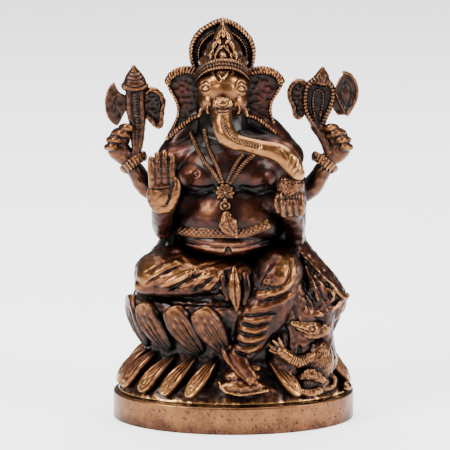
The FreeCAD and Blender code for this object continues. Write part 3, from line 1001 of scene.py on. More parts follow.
class Lotus:
    """Plinth, dark deck, lotus core and its two rows of petals."""

    CORE_SIDES = 300
    CORE_GRAIN = 0.9
    DECK_GRAIN = 1.6
    # How far the deck's dark skin stays inside the plinth's edge, and half of its thickness.
    DECK_INSET = 2.2
    DECK_HALF = 0.8

    def __init__(self) -> None:
        """Read the plinth's half-sizes and the height of its top from the frame."""
        low, high = box_mm("plinth")
        self.half = (high - low) / 2.0
        self.deck = high.z - BASE.z

    def make(self) -> None:
        """Build and dress every piece of the seat's foot."""
        refinish("plinth", PLINTH_BRASS)
        self._deck()
        self._core()
        self._hips()
        PetalRow(
            "upper", front=(-53.0, -29.0, -11.5, 56.0),
            lean=8.5, root=(41.5, 24.5, 35.5), tip=(48.0, 31.0, 58.5),
            half_width=6.3, thick=3.2, bulge=2.4, rise=0.1, finish=PETAL_BRASS).make()
        PetalRow(
            "lower", front=(-66.0, -47.0, -31.5, -17.0, 28.0),
            lean=6.5, root=(42.0, 24.5, 33.5), tip=(54.0, 33.5, 16.5),
            half_width=3.5, thick=2.5, bulge=2.2, rise=0.45, finish=BLADE_BRASS).make()

    def _core(self) -> None:
        """Oval hourglass behind the petals, cast hollow from below."""
        top = box_mm("lotus_core")[1].z - BASE.z
        outer = [
            (top + 3.0, 8.0, 5.0), (top + 2.6, 40.0, 24.0), (top + 1.0, 47.2, 29.2), (top - 6.0, 46.4, 28.0),
            (top - 15.0, 43.4, 25.0), (top - 23.0, 41.6, 23.6), (top - 30.0, 45.0, 25.6), (22.0, 50.0, 28.5),
            (16.0, 53.0, 31.0), (self.deck, 54.5, 32.3)]
        inner = [(self.deck, 42.0, 22.0), (22.0, 39.0, 20.0), (35.0, 33.0, 16.0), (47.5, 32.0, 16.0),
                 (48.0, 8.0, 4.0)]
        rows = np.vstack([flowing(np.array(outer), 0.9), flowing(np.array(inner), 2.5)])
        wax = bmesh.new()
        sweep(wax, [Matrix.Translation(BASE + UP * height) @ Matrix.Diagonal((across, deep, 1.0, 1.0))
                    for height, across, deep in rows], self.CORE_SIDES)
        skin = skinned(wax, self.CORE_GRAIN)
        skin.grain_noise(7.0, 0.9, 3.0)
        skin.grain_noise(2.2, 0.45, 8.0)
        cast("lotus", skin, DARK_BRASS, "lotus_core")

    @staticmethod
    def _hips() -> None:
        """Rough cushion of metal under the legs."""
        clay = Clay()
        clay.ball(BASE + Vector((0.0, 1.5, 64.5)), (44.5, 26.5, 17.0))
        clay.ball(BASE + Vector((0.0, 1.5, 59.0)), (46.5, 28.5, 6.0))
        skin = clay.fuse(0.8, 3)
        skin.grain_noise(7.0, 0.8, 5.0)
        skin.grain_noise(2.4, 0.5, 9.0)
        cast("hips", skin, DARK_BRASS, "hips")

    def _deck(self) -> None:
        """Rough dark casting skin on the plinth's top, inside its bright edge."""
        wax = bmesh.new()
        scale = Matrix.Diagonal((
            self.half.x - self.DECK_INSET, self.half.y - self.DECK_INSET, self.DECK_HALF, 1.0))
        at = Matrix.Translation(BASE + UP * (self.deck - 0.1))
        bmesh.ops.create_icosphere(wax, subdivisions=6, radius=1.0, matrix=at @ scale)
        skin = skinned(wax, self.DECK_GRAIN)
        skin.grain_noise(3.0, 0.35)
        cast("deck", skin, DARK_BRASS)


# ------------------------------------------------------------------------------------------
# Body and legs
# ------------------------------------------------------------------------------------------

class Torso:
    """Chest, belly, neck and the chased jewellery that lies on them."""

    def make(self) -> None:
        """Model the torso, then lay the jewellery on its surface."""
        clay = Clay()
        clay.ball(spot(-2, 95, -6), (27.5, 20.5, 19.5))
        clay.ball(spot(-3, 84, -8), (22.0, 18.5, 9.0))
        clay.ball(spot(-1, 117, -3), (27.5, 19.5, 17.0))
        clay.ball(spot(-14.5, 113, -13), (11.5, 9.0, 8.0), (20.0, 0.0, 0.0))
        clay.ball(spot(9.5, 113, -13), (11.0, 9.0, 8.0), (20.0, 0.0, 0.0))
        clay.roll([(-27, 121, -4, 8.0, 8.5), (-2, 126, -3, 12.0, 13.0), (25, 122, -4, 8.0, 8.5)])
        clay.roll([(-4, 122, -4, 15.0, 13.0), (-5, 134, -3, 12.5, 10.0), (-5, 146, -2, 12.0, 8.0)])
        clay.roll([(-30, 122, -2, 6.0, 7.0), (-22, 134, 0, 6.0, 6.0), (-14, 143, 0, 5.0, 5.0)])
        clay.roll([(27, 122, -2, 6.0, 7.0), (17, 134, 0, 6.0, 6.0), (6, 143, 0, 5.0, 5.0)])
        clay.roll([(-1, 74, 4, 25.0, 15.0), (-1, 88, 3.5, 27.0, 16.0), (-1, 106, 3, 27.0, 16.0),
                   (-1, 120, 2, 25.0, 14.5), (-3, 130, 0, 17.0, 11.0)])
        clay.ball(spot(22, 88, -1), (11.0, 9.0, 12.0))
        clay.ball(spot(-23, 88, -1), (11.0, 9.0, 12.0))
        clay.roll([(-29.5, 100, -3, 4.5, 8.0), (-29, 88, -3, 4.5, 9.0), (-31, 78, -4, 6.0, 10.0)])
        clay.roll([(28.5, 100, -3, 4.8, 8.0), (28, 88, -3, 5.2, 9.0), (29, 78, -4, 6.5, 10.0)])
        skin = clay.fuse(0.52, 3)
        skin.groove(line((-22, 108), (-15, 106.5), (-8, 107.5)), 1.1, 1.1)
        skin.groove(line((2, 107.5), (9, 106.5), (17, 108)), 1.1, 1.1)
        skin.groove(ring_line((-17.5, 113.5), 1.3), 0.4, 0.4, taper=0.0)
        skin.dots([(-2.5, 77.8)], 1.4, 1.2)
        skin.groove(line((-25, 83), (-12, 80.5), (-2, 79.8), (10, 80.8), (20, 83.5)), 1.0, 0.7)
        skin.grain_noise(4.0, 0.25)
        # Painted highlights on the belly, chest, shoulders and arm edge, painted light over the shade at the
        # belly's foot, and painted shade under the head and along the chest's crease.
        skin.rub_and_paint_light(
            (-12, 97, 6, 5, 0.32), (7, 96, 6, 6, 0.28), (-21, 118, 6, 6, 0.18), (-18, 114, 3, 3, 0.2),
            (-5, 80, 15, 4, 0.3), (-5, 75, 14, 3, 0.2), (-27, 125, 4, 3, 0.15), (22, 127, 6, 4, 0.25),
            (9, 112, 6, 4, 0.1),
            (-8, 137, 9, 8, -0.25), (8, 134, 6, 6, -0.2), (-5, 108, 4, 8, -0.15), (-2, 108, 24, 2, -0.2),
            (32, 90, 1.5, 12, 0.25))
        cast("torso", skin, RUDDY_BRASS, "belly", "chest", "neck")
        self._belt(skin)
        self._necklace(skin)
        self._pendant(skin)

    @staticmethod
    def laid(skin: Skin, path: np.ndarray, half: float, thick: float, lift: float = 0.0) -> list[Station]:
        """Stations of a strip that lies on a skin along a drawn line.

        Args:
            skin: The skin below.
            path: The line on the front drawing.
            half: Half-width of the strip.
            thick: Its half-thickness.
            lift: How far its middle stands off the skin.

        Returns:
            The stations.
        """
        depths = [skin.front_at(place) for place in path]
        return [(place[0], place[1], depth - lift, half, thick) for place, depth in zip(path, depths)]

    def _belt(self, skin: Skin) -> None:
        """Flat chased belt under the belly, with its leaf-shaped buckle.

        Args:
            skin: The torso's skin.
        """
        clay = Clay()
        middle = line(
            (-26.5, 87.5), (-20, 86.8), (-12, 86.2), (-4, 86.2), (4, 86.4), (10, 88), (16, 90.5), spacing=2.0)
        clay.roll(self.laid(skin, middle, 2.3, 1.1, 0.3), spacing=0.6)
        belt = clay.fuse(0.25, 1)
        for slant in (0.9, -0.9):
            belt.hatch(middle, 2.0, 2.3, 0.28, slant)
        for shift in (-1.9, 1.9):
            belt.groove(middle + np.array([0.0, shift]), 0.25, 0.25)
        cast("belt", belt, CHASED_BRASS, "belt")
        clay = Clay()
        front = skin.front_at((-2, 90)) - 1.6
        clay.roll([
            (-3.5, 94.5, front, 1.6, 1.5), (-3, 91.5, front - 1, 4.2, 2.0), (-1.2, 88, front - 1, 3.6, 1.8),
            (1.3, 84.6, front - 0.2, 0.8, 1.0)], spacing=0.6)
        clay.roll([(-6.2, 92, front, 1.0, 1.2), (-3.4, 95.6, front, 1.0, 1.2), (-0.2, 92.5, front, 1.0, 1.2)])
        buckle = clay.fuse(0.22, 1)
        buckle.groove(line((-3, 94), (-1.5, 89), (1.2, 85.5)), 0.35, 0.5)
        buckle.groove(line((-4.2, 92), (-5.2, 89.5), (-1.5, 86.5)), 0.35, 0.35)
        buckle.grain_noise(1.0, 0.25)
        cast("buckle", buckle, CHASED_BRASS, "buckle")

    def _necklace(self, skin: Skin) -> None:
        """Chased cords that hang from the shoulders to the pendant.

        Args:
            skin: The torso's skin.
        """
        clay = Clay()
        cords = [
            line((-20, 133), (-17.5, 127), (-14, 120), (-9.5, 114.5), (-6.5, 110), spacing=2.0),
            line((-13.5, 134), (-12, 127), (-9.5, 121), (-7, 115.5), (-5.2, 110), spacing=2.0),
            line((9, 122), (5, 118.5), (1.5, 114), (-1.5, 109.5), spacing=2.0),
            line((4, 122), (1.5, 118.5), (-1, 114), (-3, 110), spacing=2.0),
        ]
        for cord in cords:
            clay.roll(self.laid(skin, cord, 1.1, 0.9, 0.05), spacing=0.5)
        chain = clay.fuse(0.22, 1)
        for cord in cords:
            chain.hatch(cord, 1.4, 1.15, 0.5, 0.5)
        cast("necklace", chain, CHAIN_BRASS, "necklace")

    @staticmethod
    def _pendant(skin: Skin) -> None:
        """Flower pendant with its ring bead below.

        Args:
            skin: The torso's skin.
        """
        clay = Clay()
        front = skin.front_at((-4, 105))
        flower = spot(-4, 105, front - 0.6)
        clay.ball(flower, (3.9, 1.8, 4.1))
        for index in range(10):
            turn = math.radians(index * 36.0)
            clay.ball(flower + Vector((math.cos(turn) * 3.5, 0.2, math.sin(turn) * 3.6)), (1.15, 1.5, 1.15))
        bead = skin.front_at((-4, 98.8)) - 0.9
        clay.ball(spot(-4, 98.8, bead), (2.7, 1.6, 2.5))
        clay.ball(spot(-4, 101.5, bead + 0.5), (1.0, 1.2, 1.2))
        pendant = clay.fuse(0.22, 1)
        for turn in range(0, 360, 45):
            angle = math.radians(turn)
            end = (-4 + 2.6 * math.cos(angle), 105 + 2.6 * math.sin(angle))
            pendant.groove(line((-4, 105), end), 0.3, 0.5, taper=0.6)
        pendant.dots([(-4, 105)], 0.9, -0.6)
        pendant.groove(ring_line((-4, 98.8), 1.3), 0.45, 0.8, taper=0.0)
        cast("pendant", pendant, CHASED_BRASS, "pendant")


class Legs:
    """Folded right leg, hanging left leg and the pleated cloth over both."""

    def make(self) -> None:
        """Model both legs, the pleat between them and the sash over the left hip."""
        self._right()
        self._left()
        self._pleat()
        self._sash()

    @staticmethod
    def _right() -> None:
        """Right leg, folded on the seat, with slanting folds of cloth."""
        clay = Clay()
        clay.ball(spot(-27, 68.5, -11), (19.5, 17.0, 11.2))
        clay.ball(spot(-38.5, 66.5, -11), (8.2, 14.5, 9.0))
        clay.ball(spot(-13, 66, -12), (13.5, 15.5, 10.5))
        clay.ball(spot(-4, 64, -12), (9.0, 15.0, 8.5))
        clay.ball(spot(-27, 76, -6), (12.0, 14.0, 7.5))
        clay.ball(spot(-11, 69.5, -14), (15.0, 14.0, 7.0))
        clay.ball(spot(2, 68.5, -14), (11.0, 13.0, 6.5))
        clay.roll([(-42, 62.5, -15, 4.5, 8.0), (-28, 61.5, -17, 5.0, 10.0), (-8, 61.5, -17, 4.5, 9.5)])
        leg = clay.fuse(0.4, 4)
        for path in (
            line((-23, 73.8), (-32, 69.8), (-40.5, 64.2)), line((-15, 71.5), (-26, 65.8), (-36, 60.3)),
            line((-10.5, 68.8), (-18, 63.8), (-26.5, 59)), line((-5, 68), (-9.5, 63), (-15, 59)),
            line((-0.5, 67), (-4.8, 62.5), (-7.5, 58.5)),
        ):
            leg.groove(path, 2.3, -1.2, taper=4.0)
        for path in (
            line((-24, 71.8), (-33, 67.2), (-42, 61.8)), line((-14, 68.6), (-24, 63), (-31.5, 59)),
            line((-8.5, 67), (-14.5, 62), (-20.5, 58.8)), line((-3.6, 66.5), (-7.5, 62), (-11, 58.5)),
        ):
            leg.groove(path, 0.7, 1.1, taper=3.5)
        for path in (
            line((-22, 76.5), (-33, 72.5), (-42.5, 67)), line((-19, 70.3), (-29, 65.5), (-37, 61)),
            line((-9, 69.5), (-12, 66), (-18, 61)),
        ):
            leg.groove(path, 0.5, 0.25, taper=3.5)
        for angle in range(0, 360, 60):
            turn = math.radians(angle)
            leg.dots([(-19.5 + 1.5 * math.cos(turn), 68 + 1.5 * math.sin(turn))], 0.6, 0.6)
        leg.grain_noise(3.0, 0.3)
        for path in (line((-2, 74.5), (-10, 72), (-17, 69.5)), line((5, 73), (-1, 70), (-5, 67.5))):
            leg.groove(path, 0.6, 0.7, taper=2.5)
        # Painted highlights on the knee and fold tops, painted light in the hollow under the belly, and
        # painted shade along the leg's lower and upper edges.
        leg.rub_and_paint_light((-41, 69, 4, 5, 0.22), (-26, 66, 8, 3, 0.1), (-20, 58.8, 26, 2.4, -0.3),
                (-30, 77.5, 10, 2, -0.12), (-3, 64, 5, 6, -0.1), (-6, 74, 16, 3.5, 0.3), (-24, 72, 5, 3, 0.1))
        cast("right_leg", leg, FOLD_BRASS, "right_leg")

    @staticmethod
    def _left() -> None:
        """Left leg, hanging over the lotus, with swags of cloth down the shin and a bare foot."""
        clay = Clay()
        clay.ball(spot(20, 67.5, -17), (12.8, 15.5, 12.3))
        clay.ball(spot(13, 66, -14), (9.0, 15.0, 9.5))
        clay.roll([
            (20, 61, -21, 11.2, 11.0), (15.5, 52, -24, 11.8, 9.5), (10.5, 44, -25.5, 10.6, 8.5),
            (7.5, 36.5, -26.5, 8.0, 7.0), (4.5, 31, -27.5, 5.5, 5.5)])
        clay.roll([(1.5, 30, -29, 4.2, 4.2), (4.5, 24.5, -32, 3.9, 3.6), (8.2, 19.2, -34, 3.2, 2.8)])
        clay.roll([(6.8, 18.6, -35.2, 1.2, 1.3), (7.6, 16.8, -36, 1.2, 1.3)])
        clay.roll([(9.4, 18.4, -35, 1.1, 1.2), (10.4, 17.2, -35.5, 1.1, 1.2)])
        leg = clay.fuse(0.4, 4)
        for path in (
            line((30, 62.5), (22, 57.5), (12, 54.5)), line((21, 49.8), (11, 48.3), (3, 48.5)),
            line((18, 45.3), (10, 43.2), (2, 44.8)), line((16.5, 40.8), (8, 38.7), (0, 41.2)),
            line((14.5, 36.2), (6, 34.2), (-1.5, 37)), line((12, 31.5), (6, 29.8), (-0.5, 32)),
        ):
            leg.groove(path, 0.8, 0.9, taper=3.0)
        for path in (
            line((29.5, 59), (22, 54.2), (13, 51.6), (6, 52.3)), line((19, 47.6), (10, 45.8), (3, 46.8)),
            line((17, 43.2), (10, 40.9), (2, 43)), line((16, 38.6), (8, 36.4), (-0.5, 39.2)),
            line((13, 33.4), (6, 31.8), (-1.5, 34.8)),
            line((27, 77.5), (28.6, 69), (25, 61.5), (16, 58), (9, 57.3)),
        ):
            leg.groove(path, 1.3, -0.7, taper=3.0)
        leg.groove(line((27, 75), (24.5, 64), (17, 60.8), (9, 60.5)), 0.6, 0.6, taper=3.0)
        leg.groove(line((20, 73.5), (14.5, 67), (11.5, 61)), 0.5, 0.5, taper=2.0)
        leg.dots([(14.5, 62), (16.5, 61.6), (17.5, 63.5), (16, 65.4), (17.8, 66.2), (15, 64)], 0.65, 0.6)
        leg.grain_noise(3.0, 0.3, 5.0)
        # Painted highlight down the knee's outer edge and on the swags, and painted shade beside the pleat,
        # under the belly and inside the knee.
        leg.rub_and_paint_light((11, 69, 5.5, 6, -0.15), (25, 72, 4.2, 7, 0.34), (25, 62, 4, 3, 0.3), (16, 58.5, 6, 1.5, 0.2),
                (19, 44, 4, 6, -0.12), (4, 60, 4, 5, -0.2), (8, 77, 8, 4, -0.15), (16, 63.5, 3, 3, 0.12),
                (8, 50, 7, 2, 0.1), (6, 41, 5, 6, 0.06))
        cast("left_leg", leg, SHIN_BRASS, "left_knee", "left_shin")
        foot = Clay()
        foot.roll([(-5, 35, -25, 2.0, 2.4), (-3.5, 30, -28, 2.2, 2.4), (1, 23.5, -31, 2.0, 2.2),
                   (6, 18.8, -33.5, 1.8, 2.0), (10.5, 16.8, -34, 1.4, 1.6)])
        foot.roll([(-1.5, 33.5, -27, 1.5, 2.0), (2, 27.5, -30, 1.7, 2.2), (6, 24.2, -32, 1.6, 2.0),
                   (11, 23.6, -32, 1.4, 1.6)])
        foot.ball(spot(7.8, 18.2, -34.5), (3.0, 2.6, 2.2))
        hem = foot.fuse(0.3, 3)
        hem.groove(line((-3, 32.5), (1.2, 26.4), (6.5, 21.2), (10.5, 19.8)), 0.5, 0.8)
        hem.grain_noise(2.0, 0.25)
        hem.groove(line((-1.5, 32.5), (3.0, 26.0), (8.0, 22.6)), 0.35, 0.5)
        cast("left_foot", hem, SHIN_BRASS, "left_foot")

    @staticmethod
    def _pleat() -> None:
        """Leaf-shaped end of the loincloth, and the boat-shaped petal under the foot."""
        clay = Clay()
        clay.roll([(0.3, 70, -27.5, 1.2, 1.2), (0.2, 64, -29.5, 2.8, 1.8), (0.6, 58, -30, 3.1, 1.9),
                   (1.4, 52.5, -30, 1.6, 1.3), (1.5, 50.2, -29.5, 0.7, 0.8)], spacing=0.7)
        clay.roll([(-5, 66, -27, 1.5, 2.0), (-3.5, 60, -28, 2.0, 2.0), (-3, 56, -28, 1.4, 1.6)])
        clay.roll([(5.5, 67, -26, 2.0, 2.0), (6.2, 60, -28, 2.2, 2.0), (5, 54, -28, 1.6, 1.6)])
        pleat = clay.fuse(0.3, 2)
        pleat.groove(line((0.3, 68.5), (0.6, 60), (1.4, 52)), 0.5, 0.7)
        pleat.grain_noise(2.0, 0.2)
        # Painted shade on the folds beside the leaf and a painted highlight down its middle.
        pleat.rub_and_paint_light((-4.4, 61, 1.8, 7, -0.2), (6.6, 61, 2.4, 8, -0.25), (0.6, 60, 2, 6, 0.2))
        cast("hanging_pleat", pleat, SHIN_BRASS, "hanging_pleat")
        clay = Clay()
        clay.roll([(-6.5, 16.5, -31, 0.9, 1.4), (-5, 13.8, -33, 1.1, 1.6), (-1, 12.2, -34.3, 1.1, 1.6),
                   (4, 11.6, -34.8, 1.1, 1.6), (10, 12.4, -34.3, 1.1, 1.5), (15.5, 13.2, -33.3, 0.9, 1.2)],
                  spacing=0.7)
        clay.ball(spot(4, 15.0, -31.5), (10.8, 4.6, 4.0))
        clay.ball(spot(4, 19, -28.5), (9.0, 5.0, 5.0))
        petal = clay.fuse(0.3, 2)
        petal.grain_noise(2.0, 0.3)
        cast("foot_petal", petal, PETAL_BRASS, "foot_petal")

    @staticmethod
    def _sash() -> None:
        """Sash that runs from the waist over the left hip to its knot at the seat's edge."""
        clay = Clay()
        clay.roll([(28, 82, -4, 5.5, 8.0), (35, 73, -6, 5.5, 8.0), (42, 63.5, -7, 6.6, 8.5),
                   (47.5, 55.5, -7, 6.0, 8.0), (45.5, 50, -8, 5.5, 7.0)])
        clay.roll([(24, 60, -20, 9.0, 8.0), (28, 50, -18, 11.0, 9.0), (28, 38, -18, 11.0, 9.0),
                   (24, 25, -20, 9.5, 8.0)])
        clay.roll([(37, 62, -12, 8.0, 9.0), (39, 50, -13, 8.5, 8.0), (41, 38, -12, 6.0, 8.0),
                   (43, 26, -12, 6.0, 8.0)])
        clay.roll([(31, 78, -11.5, 1.2, 2.0), (38, 69.5, -14, 1.3, 2.0), (45.5, 62, -15, 1.3, 2.0),
                   (51.5, 56, -13.5, 1.2, 1.6)])
        clay.roll([(33.5, 70, -15, 1.2, 1.5), (37, 62, -19, 1.3, 1.6), (39, 55.5, -20.5, 1.2, 1.6)])
        clay.roll([(41.5, 61, -16, 1.0, 1.4), (45, 60.5, -16.5, 1.1, 1.4), (46.5, 56.5, -17, 1.1, 1.4),
                   (43.5, 52.5, -17, 1.0, 1.4)])
        clay.roll([(52.8, 57, -10, 1.6, 2.0), (49, 53.5, -14, 1.5, 1.8), (45, 50, -17, 1.4, 1.6)])
        sash = clay.fuse(0.4, 2)
        sash.groove(line((33, 74.5), (40, 66), (47, 59.5)), 0.8, 1.2)
        sash.groove(line((36, 68), (40, 61), (43, 54)), 0.7, 1.0)
        for path in (line((33, 66), (34.5, 56), (36, 49)), line((22, 46), (25, 38), (24, 26)),
                     line((30, 36), (31, 30), (30, 22)), line((26, 56), (29, 48), (30, 40))):
            sash.groove(path, 0.9, 1.0, taper=3.0)
        sash.grain_noise(2.5, 0.45)
        # Lighter patches on the tops of the sash's folds.
        sash.rub_and_paint_light((38, 72, 5, 4, 0.15), (48, 61, 5, 4, 0.15), (49, 53, 3, 3, 0.15), (44, 60.5, 3, 1.5, 0.15),
                 (38, 50, 4, 1.5, 0.2))
        cast("hip_sash", sash, SASH_BRASS, "hip_sash")


# ------------------------------------------------------------------------------------------
# Head and crown
# ------------------------------------------------------------------------------------------

HEAD_MIDDLE = -4.8


def brow_depth(across: float, wide: float = 12.5, front: float = -20.0, back: float = -4.0) -> float:
    """Depth of a round band about the head.

    Args:
        across: Place across the front drawing.
        wide: Half-width of the band.
        front: Depth of its middle.
        back: Depth of its ends.

    Returns:
        The depth, in millimetres.
    """
    part = min(1.0, abs(across - HEAD_MIDDLE) / wide)
    return back + (front - back) * math.sqrt(1.0 - part ** 2)


class Head:
    """Elephant's head with its trunk, tusks and wide ears."""

    def make(self) -> None:
        """Model the face, then the ears."""
        self._face()
        self._ear("right_ear", -1.0)
        self._ear("left_ear", 1.0)

    @staticmethod
    def _face() -> None:
        """Face and trunk in one skin, with ringed eyes and lined brow."""
        clay = Clay()
        clay.ball(spot(HEAD_MIDDLE, 154, -6), (12.0, 13.5, 12.0))
        clay.ball(spot(HEAD_MIDDLE, 150, -3), (12.2, 11.0, 14.0))
        clay.ball(spot(-10.3, 154.5, -9.5), (6.2, 8.5, 7.8))
        clay.ball(spot(0.7, 154.5, -9.5), (6.2, 8.5, 7.8))
        clay.ball(spot(-10.6, 148, -9.0), (5.6, 9.0, 7.0))
        clay.ball(spot(1.0, 148, -9.0), (5.6, 9.0, 7.0))
        clay.ball(spot(HEAD_MIDDLE, 157, -8), (11.2, 10.9, 8.0))
        clay.ball(spot(HEAD_MIDDLE, 151, -7), (11.6, 11.5, 8.0))
        clay.roll([
            (-5.2, 151, -13, 3.4, 3.4), (-5.2, 147, -17, 4.0, 3.4), (-5.2, 144, -20.5, 4.5, 4.0),
            (-5.2, 141, -23, 4.4, 4.0),
            (-5.0, 136, -25.5, 4.6, 4.2), (-3.4, 131.2, -27.5, 4.7, 4.2), (1.0, 128, -28.5, 4.1, 4.0),
            (5.5, 127, -29, 3.7, 3.8), (12.0, 125.3, -30, 3.8, 3.8), (19.0, 123.5, -31, 4.5, 4.2),
            (24.0, 120.8, -32, 5.0, 4.6), (27.0, 117, -32.5, 4.6, 4.2), (29.0, 113.5, -32.5, 3.6, 3.6)],
            spacing=0.8)
        clay.ball(spot(-5.2, 145.6, -22.7), (4.7, 3.0, 3.0), (-20.0, 0.0, 0.0))
        for side in (-1.0, 1.0):
            near = HEAD_MIDDLE + side * 6.6
            clay.roll([(near, 146, -15, 1.2, 1.8), (near + side * 0.5, 143.8, -17, 1.1, 1.5),
                       (near + side * 0.3, 141.6, -18, 0.6, 0.7)], spacing=0.6)
            far = HEAD_MIDDLE + side * 9.6
            clay.roll([(far, 144.5, -12, 1.2, 1.7), (far + side * 0.9, 142.4, -13, 1.1, 1.3),
                       (far + side * 1.6, 140.4, -13.8, 0.55, 0.7)], spacing=0.6)
        skin = clay.fuse(0.3, 3)
        for eye in ((-13.3, 152.9), (3.8, 152.7)):
            skin.groove(ring_line(eye, 2.1, squash=0.66), 0.3, 0.55, taper=0.0)
            skin.dots([eye], 0.9, -0.25)
            brow = [(eye[0] - 2.6, eye[1] + 1.4), (eye[0], eye[1] + 3.5), (eye[0] + 2.7, eye[1] + 1.6)]
            skin.groove(line(*brow), 0.32, 0.5)
        for start, end in (((-9.4, 161.0), (-6.0, 156.2)), ((-0.6, 161.0), (-4.3, 156.2))):
            skin.groove(line(start, end), 0.45, 0.7, taper=0.8)
        for start, end in (((-7.8, 161.0), (-5.4, 157.0)), ((-2.2, 161.0), (-4.9, 157.0))):
            skin.groove(line(start, end), 0.4, -0.5, taper=0.8)
        skin.groove(ring_line((-5.2, 145.7), 4.4, squash=0.63), 0.35, 0.6, taper=0.0)
        skin.groove(ring_line((-5.2, 145.9), 2.6, squash=0.6), 0.3, 0.25, taper=0.0)
        skin.groove(ring_line((-5.2, 143.8), 4.6, 215.0, 325.0, 0.5), 0.4, 0.7)
        spine = line((-4.6, 139.5), (-4.0, 135), (-1.8, 131.3), (2.2, 128.5), (7, 126.9), (12.5, 125.6))
        skin.groove(spine, 0.9, 0.5)
        skin.hatch(spine, 1.1, 1.25, 0.45, 0.2)
        for start, end in (((20.5, 126), (24.5, 119.6)), ((26.5, 122), (24.8, 115.8)),
                           ((29.3, 120.3), (26, 114.2)), ((30.8, 117.5), (27.2, 112.6))):
            skin.groove(line(start, end), 0.4, 0.3, taper=1.0)
        skin.grain_noise(3.5, 0.2, 2.0)
        # Darker towards the back of the head.
        skin.worn_and_painted_light -= 0.35 * ease(-4.0, 2.0, skin.points[:, 1] - BASE.y)
        # Painted light on the forehead under the band's shadow; painted shade down the sides of the face,
        # between the eyes, under the disc, round the tusks and along the trunk.
        skin.rub_and_paint_light((-5, 160.5, 11, 2.5, 0.25), (-5, 143, 4, 0.9, -0.35), (9, 149, 2, 8, -0.4),
                 (-17.5, 148, 1.4, 7, -0.3),
                 (-5, 152.5, 4, 2.5, -0.16), (-12.5, 143, 3, 2.5, -0.2), (3, 143, 3, 2.5, -0.2),
                 (-4, 134, 5, 6, -0.1), (8, 127, 9, 4, -0.08), (25, 118, 6, 6, -0.08))
        cast("head", skin, FACE_BRASS, "head", "trunk", "brow_disc", "right_tusk", "left_tusk")

    @staticmethod
    def _ear(name: str, side: float) -> None:
        """Wide ear: a thin dish with a rolled and hatched rim.

        Args:
            name: Name of the piece and of its CAD node.
            side: -1 for the figure's right ear, 1 for the left one.
        """
        def at(across: float, drawn: float) -> Spot:
            """Spot of the right ear's pattern, mirrored and widened a little for the left ear.

            Args:
                across: Place across, on the right ear.
                drawn: Height on the drawing.

            Returns:
                The spot on this ear.
            """
            if side < 0:
                return (across, drawn)
            return (HEAD_MIDDLE + (HEAD_MIDDLE - across) * 1.05, drawn)

        rim = line(at(-14.5, 161.5), at(-22, 163), at(-28, 161), at(-30.5, 156.5), at(-28.5, 151.5),
                   at(-26, 147), at(-25.6, 142), at(-27.5, 136.5), at(-30.5, 131), spacing=1.5)
        hem = line(at(-14.0, 142.0), at(-21, 138.5), at(-26, 134.5), at(-30.3, 130.5), spacing=1.5)
        clay = Clay()
        clay.slab(np.vstack([rim, hem[::-1]]), -2.0, 1.2)
        lobe = int(len(rim) * 0.42)
        clay.roll([(*place, -2.5, 0.9, 1.7) for place in rim], spacing=0.7)
        clay.roll([(*place, -4.5, 1.4, 1.7) for place in hem], spacing=0.7)
        clay.roll([(place[0], place[1] - 1.2, -4.0, 2.0, 1.7) for place in rim[:lobe]], spacing=0.7)
        skin = clay.fuse(0.3, 2)
        skin.hatch(rim[:lobe + 1] - np.array([0.0, 1.2]), 2.2, 1.45, 0.45, 0.3 * side)
        skin.hatch(rim[lobe:], 1.0, 1.45, 0.35, 0.3 * side)
        skin.hatch(hem, 1.6, 1.45, 0.45, 0.3 * side)
        skin.grain_noise(2.0, 0.3)
        cast(name, skin, EAR_BRASS, name)


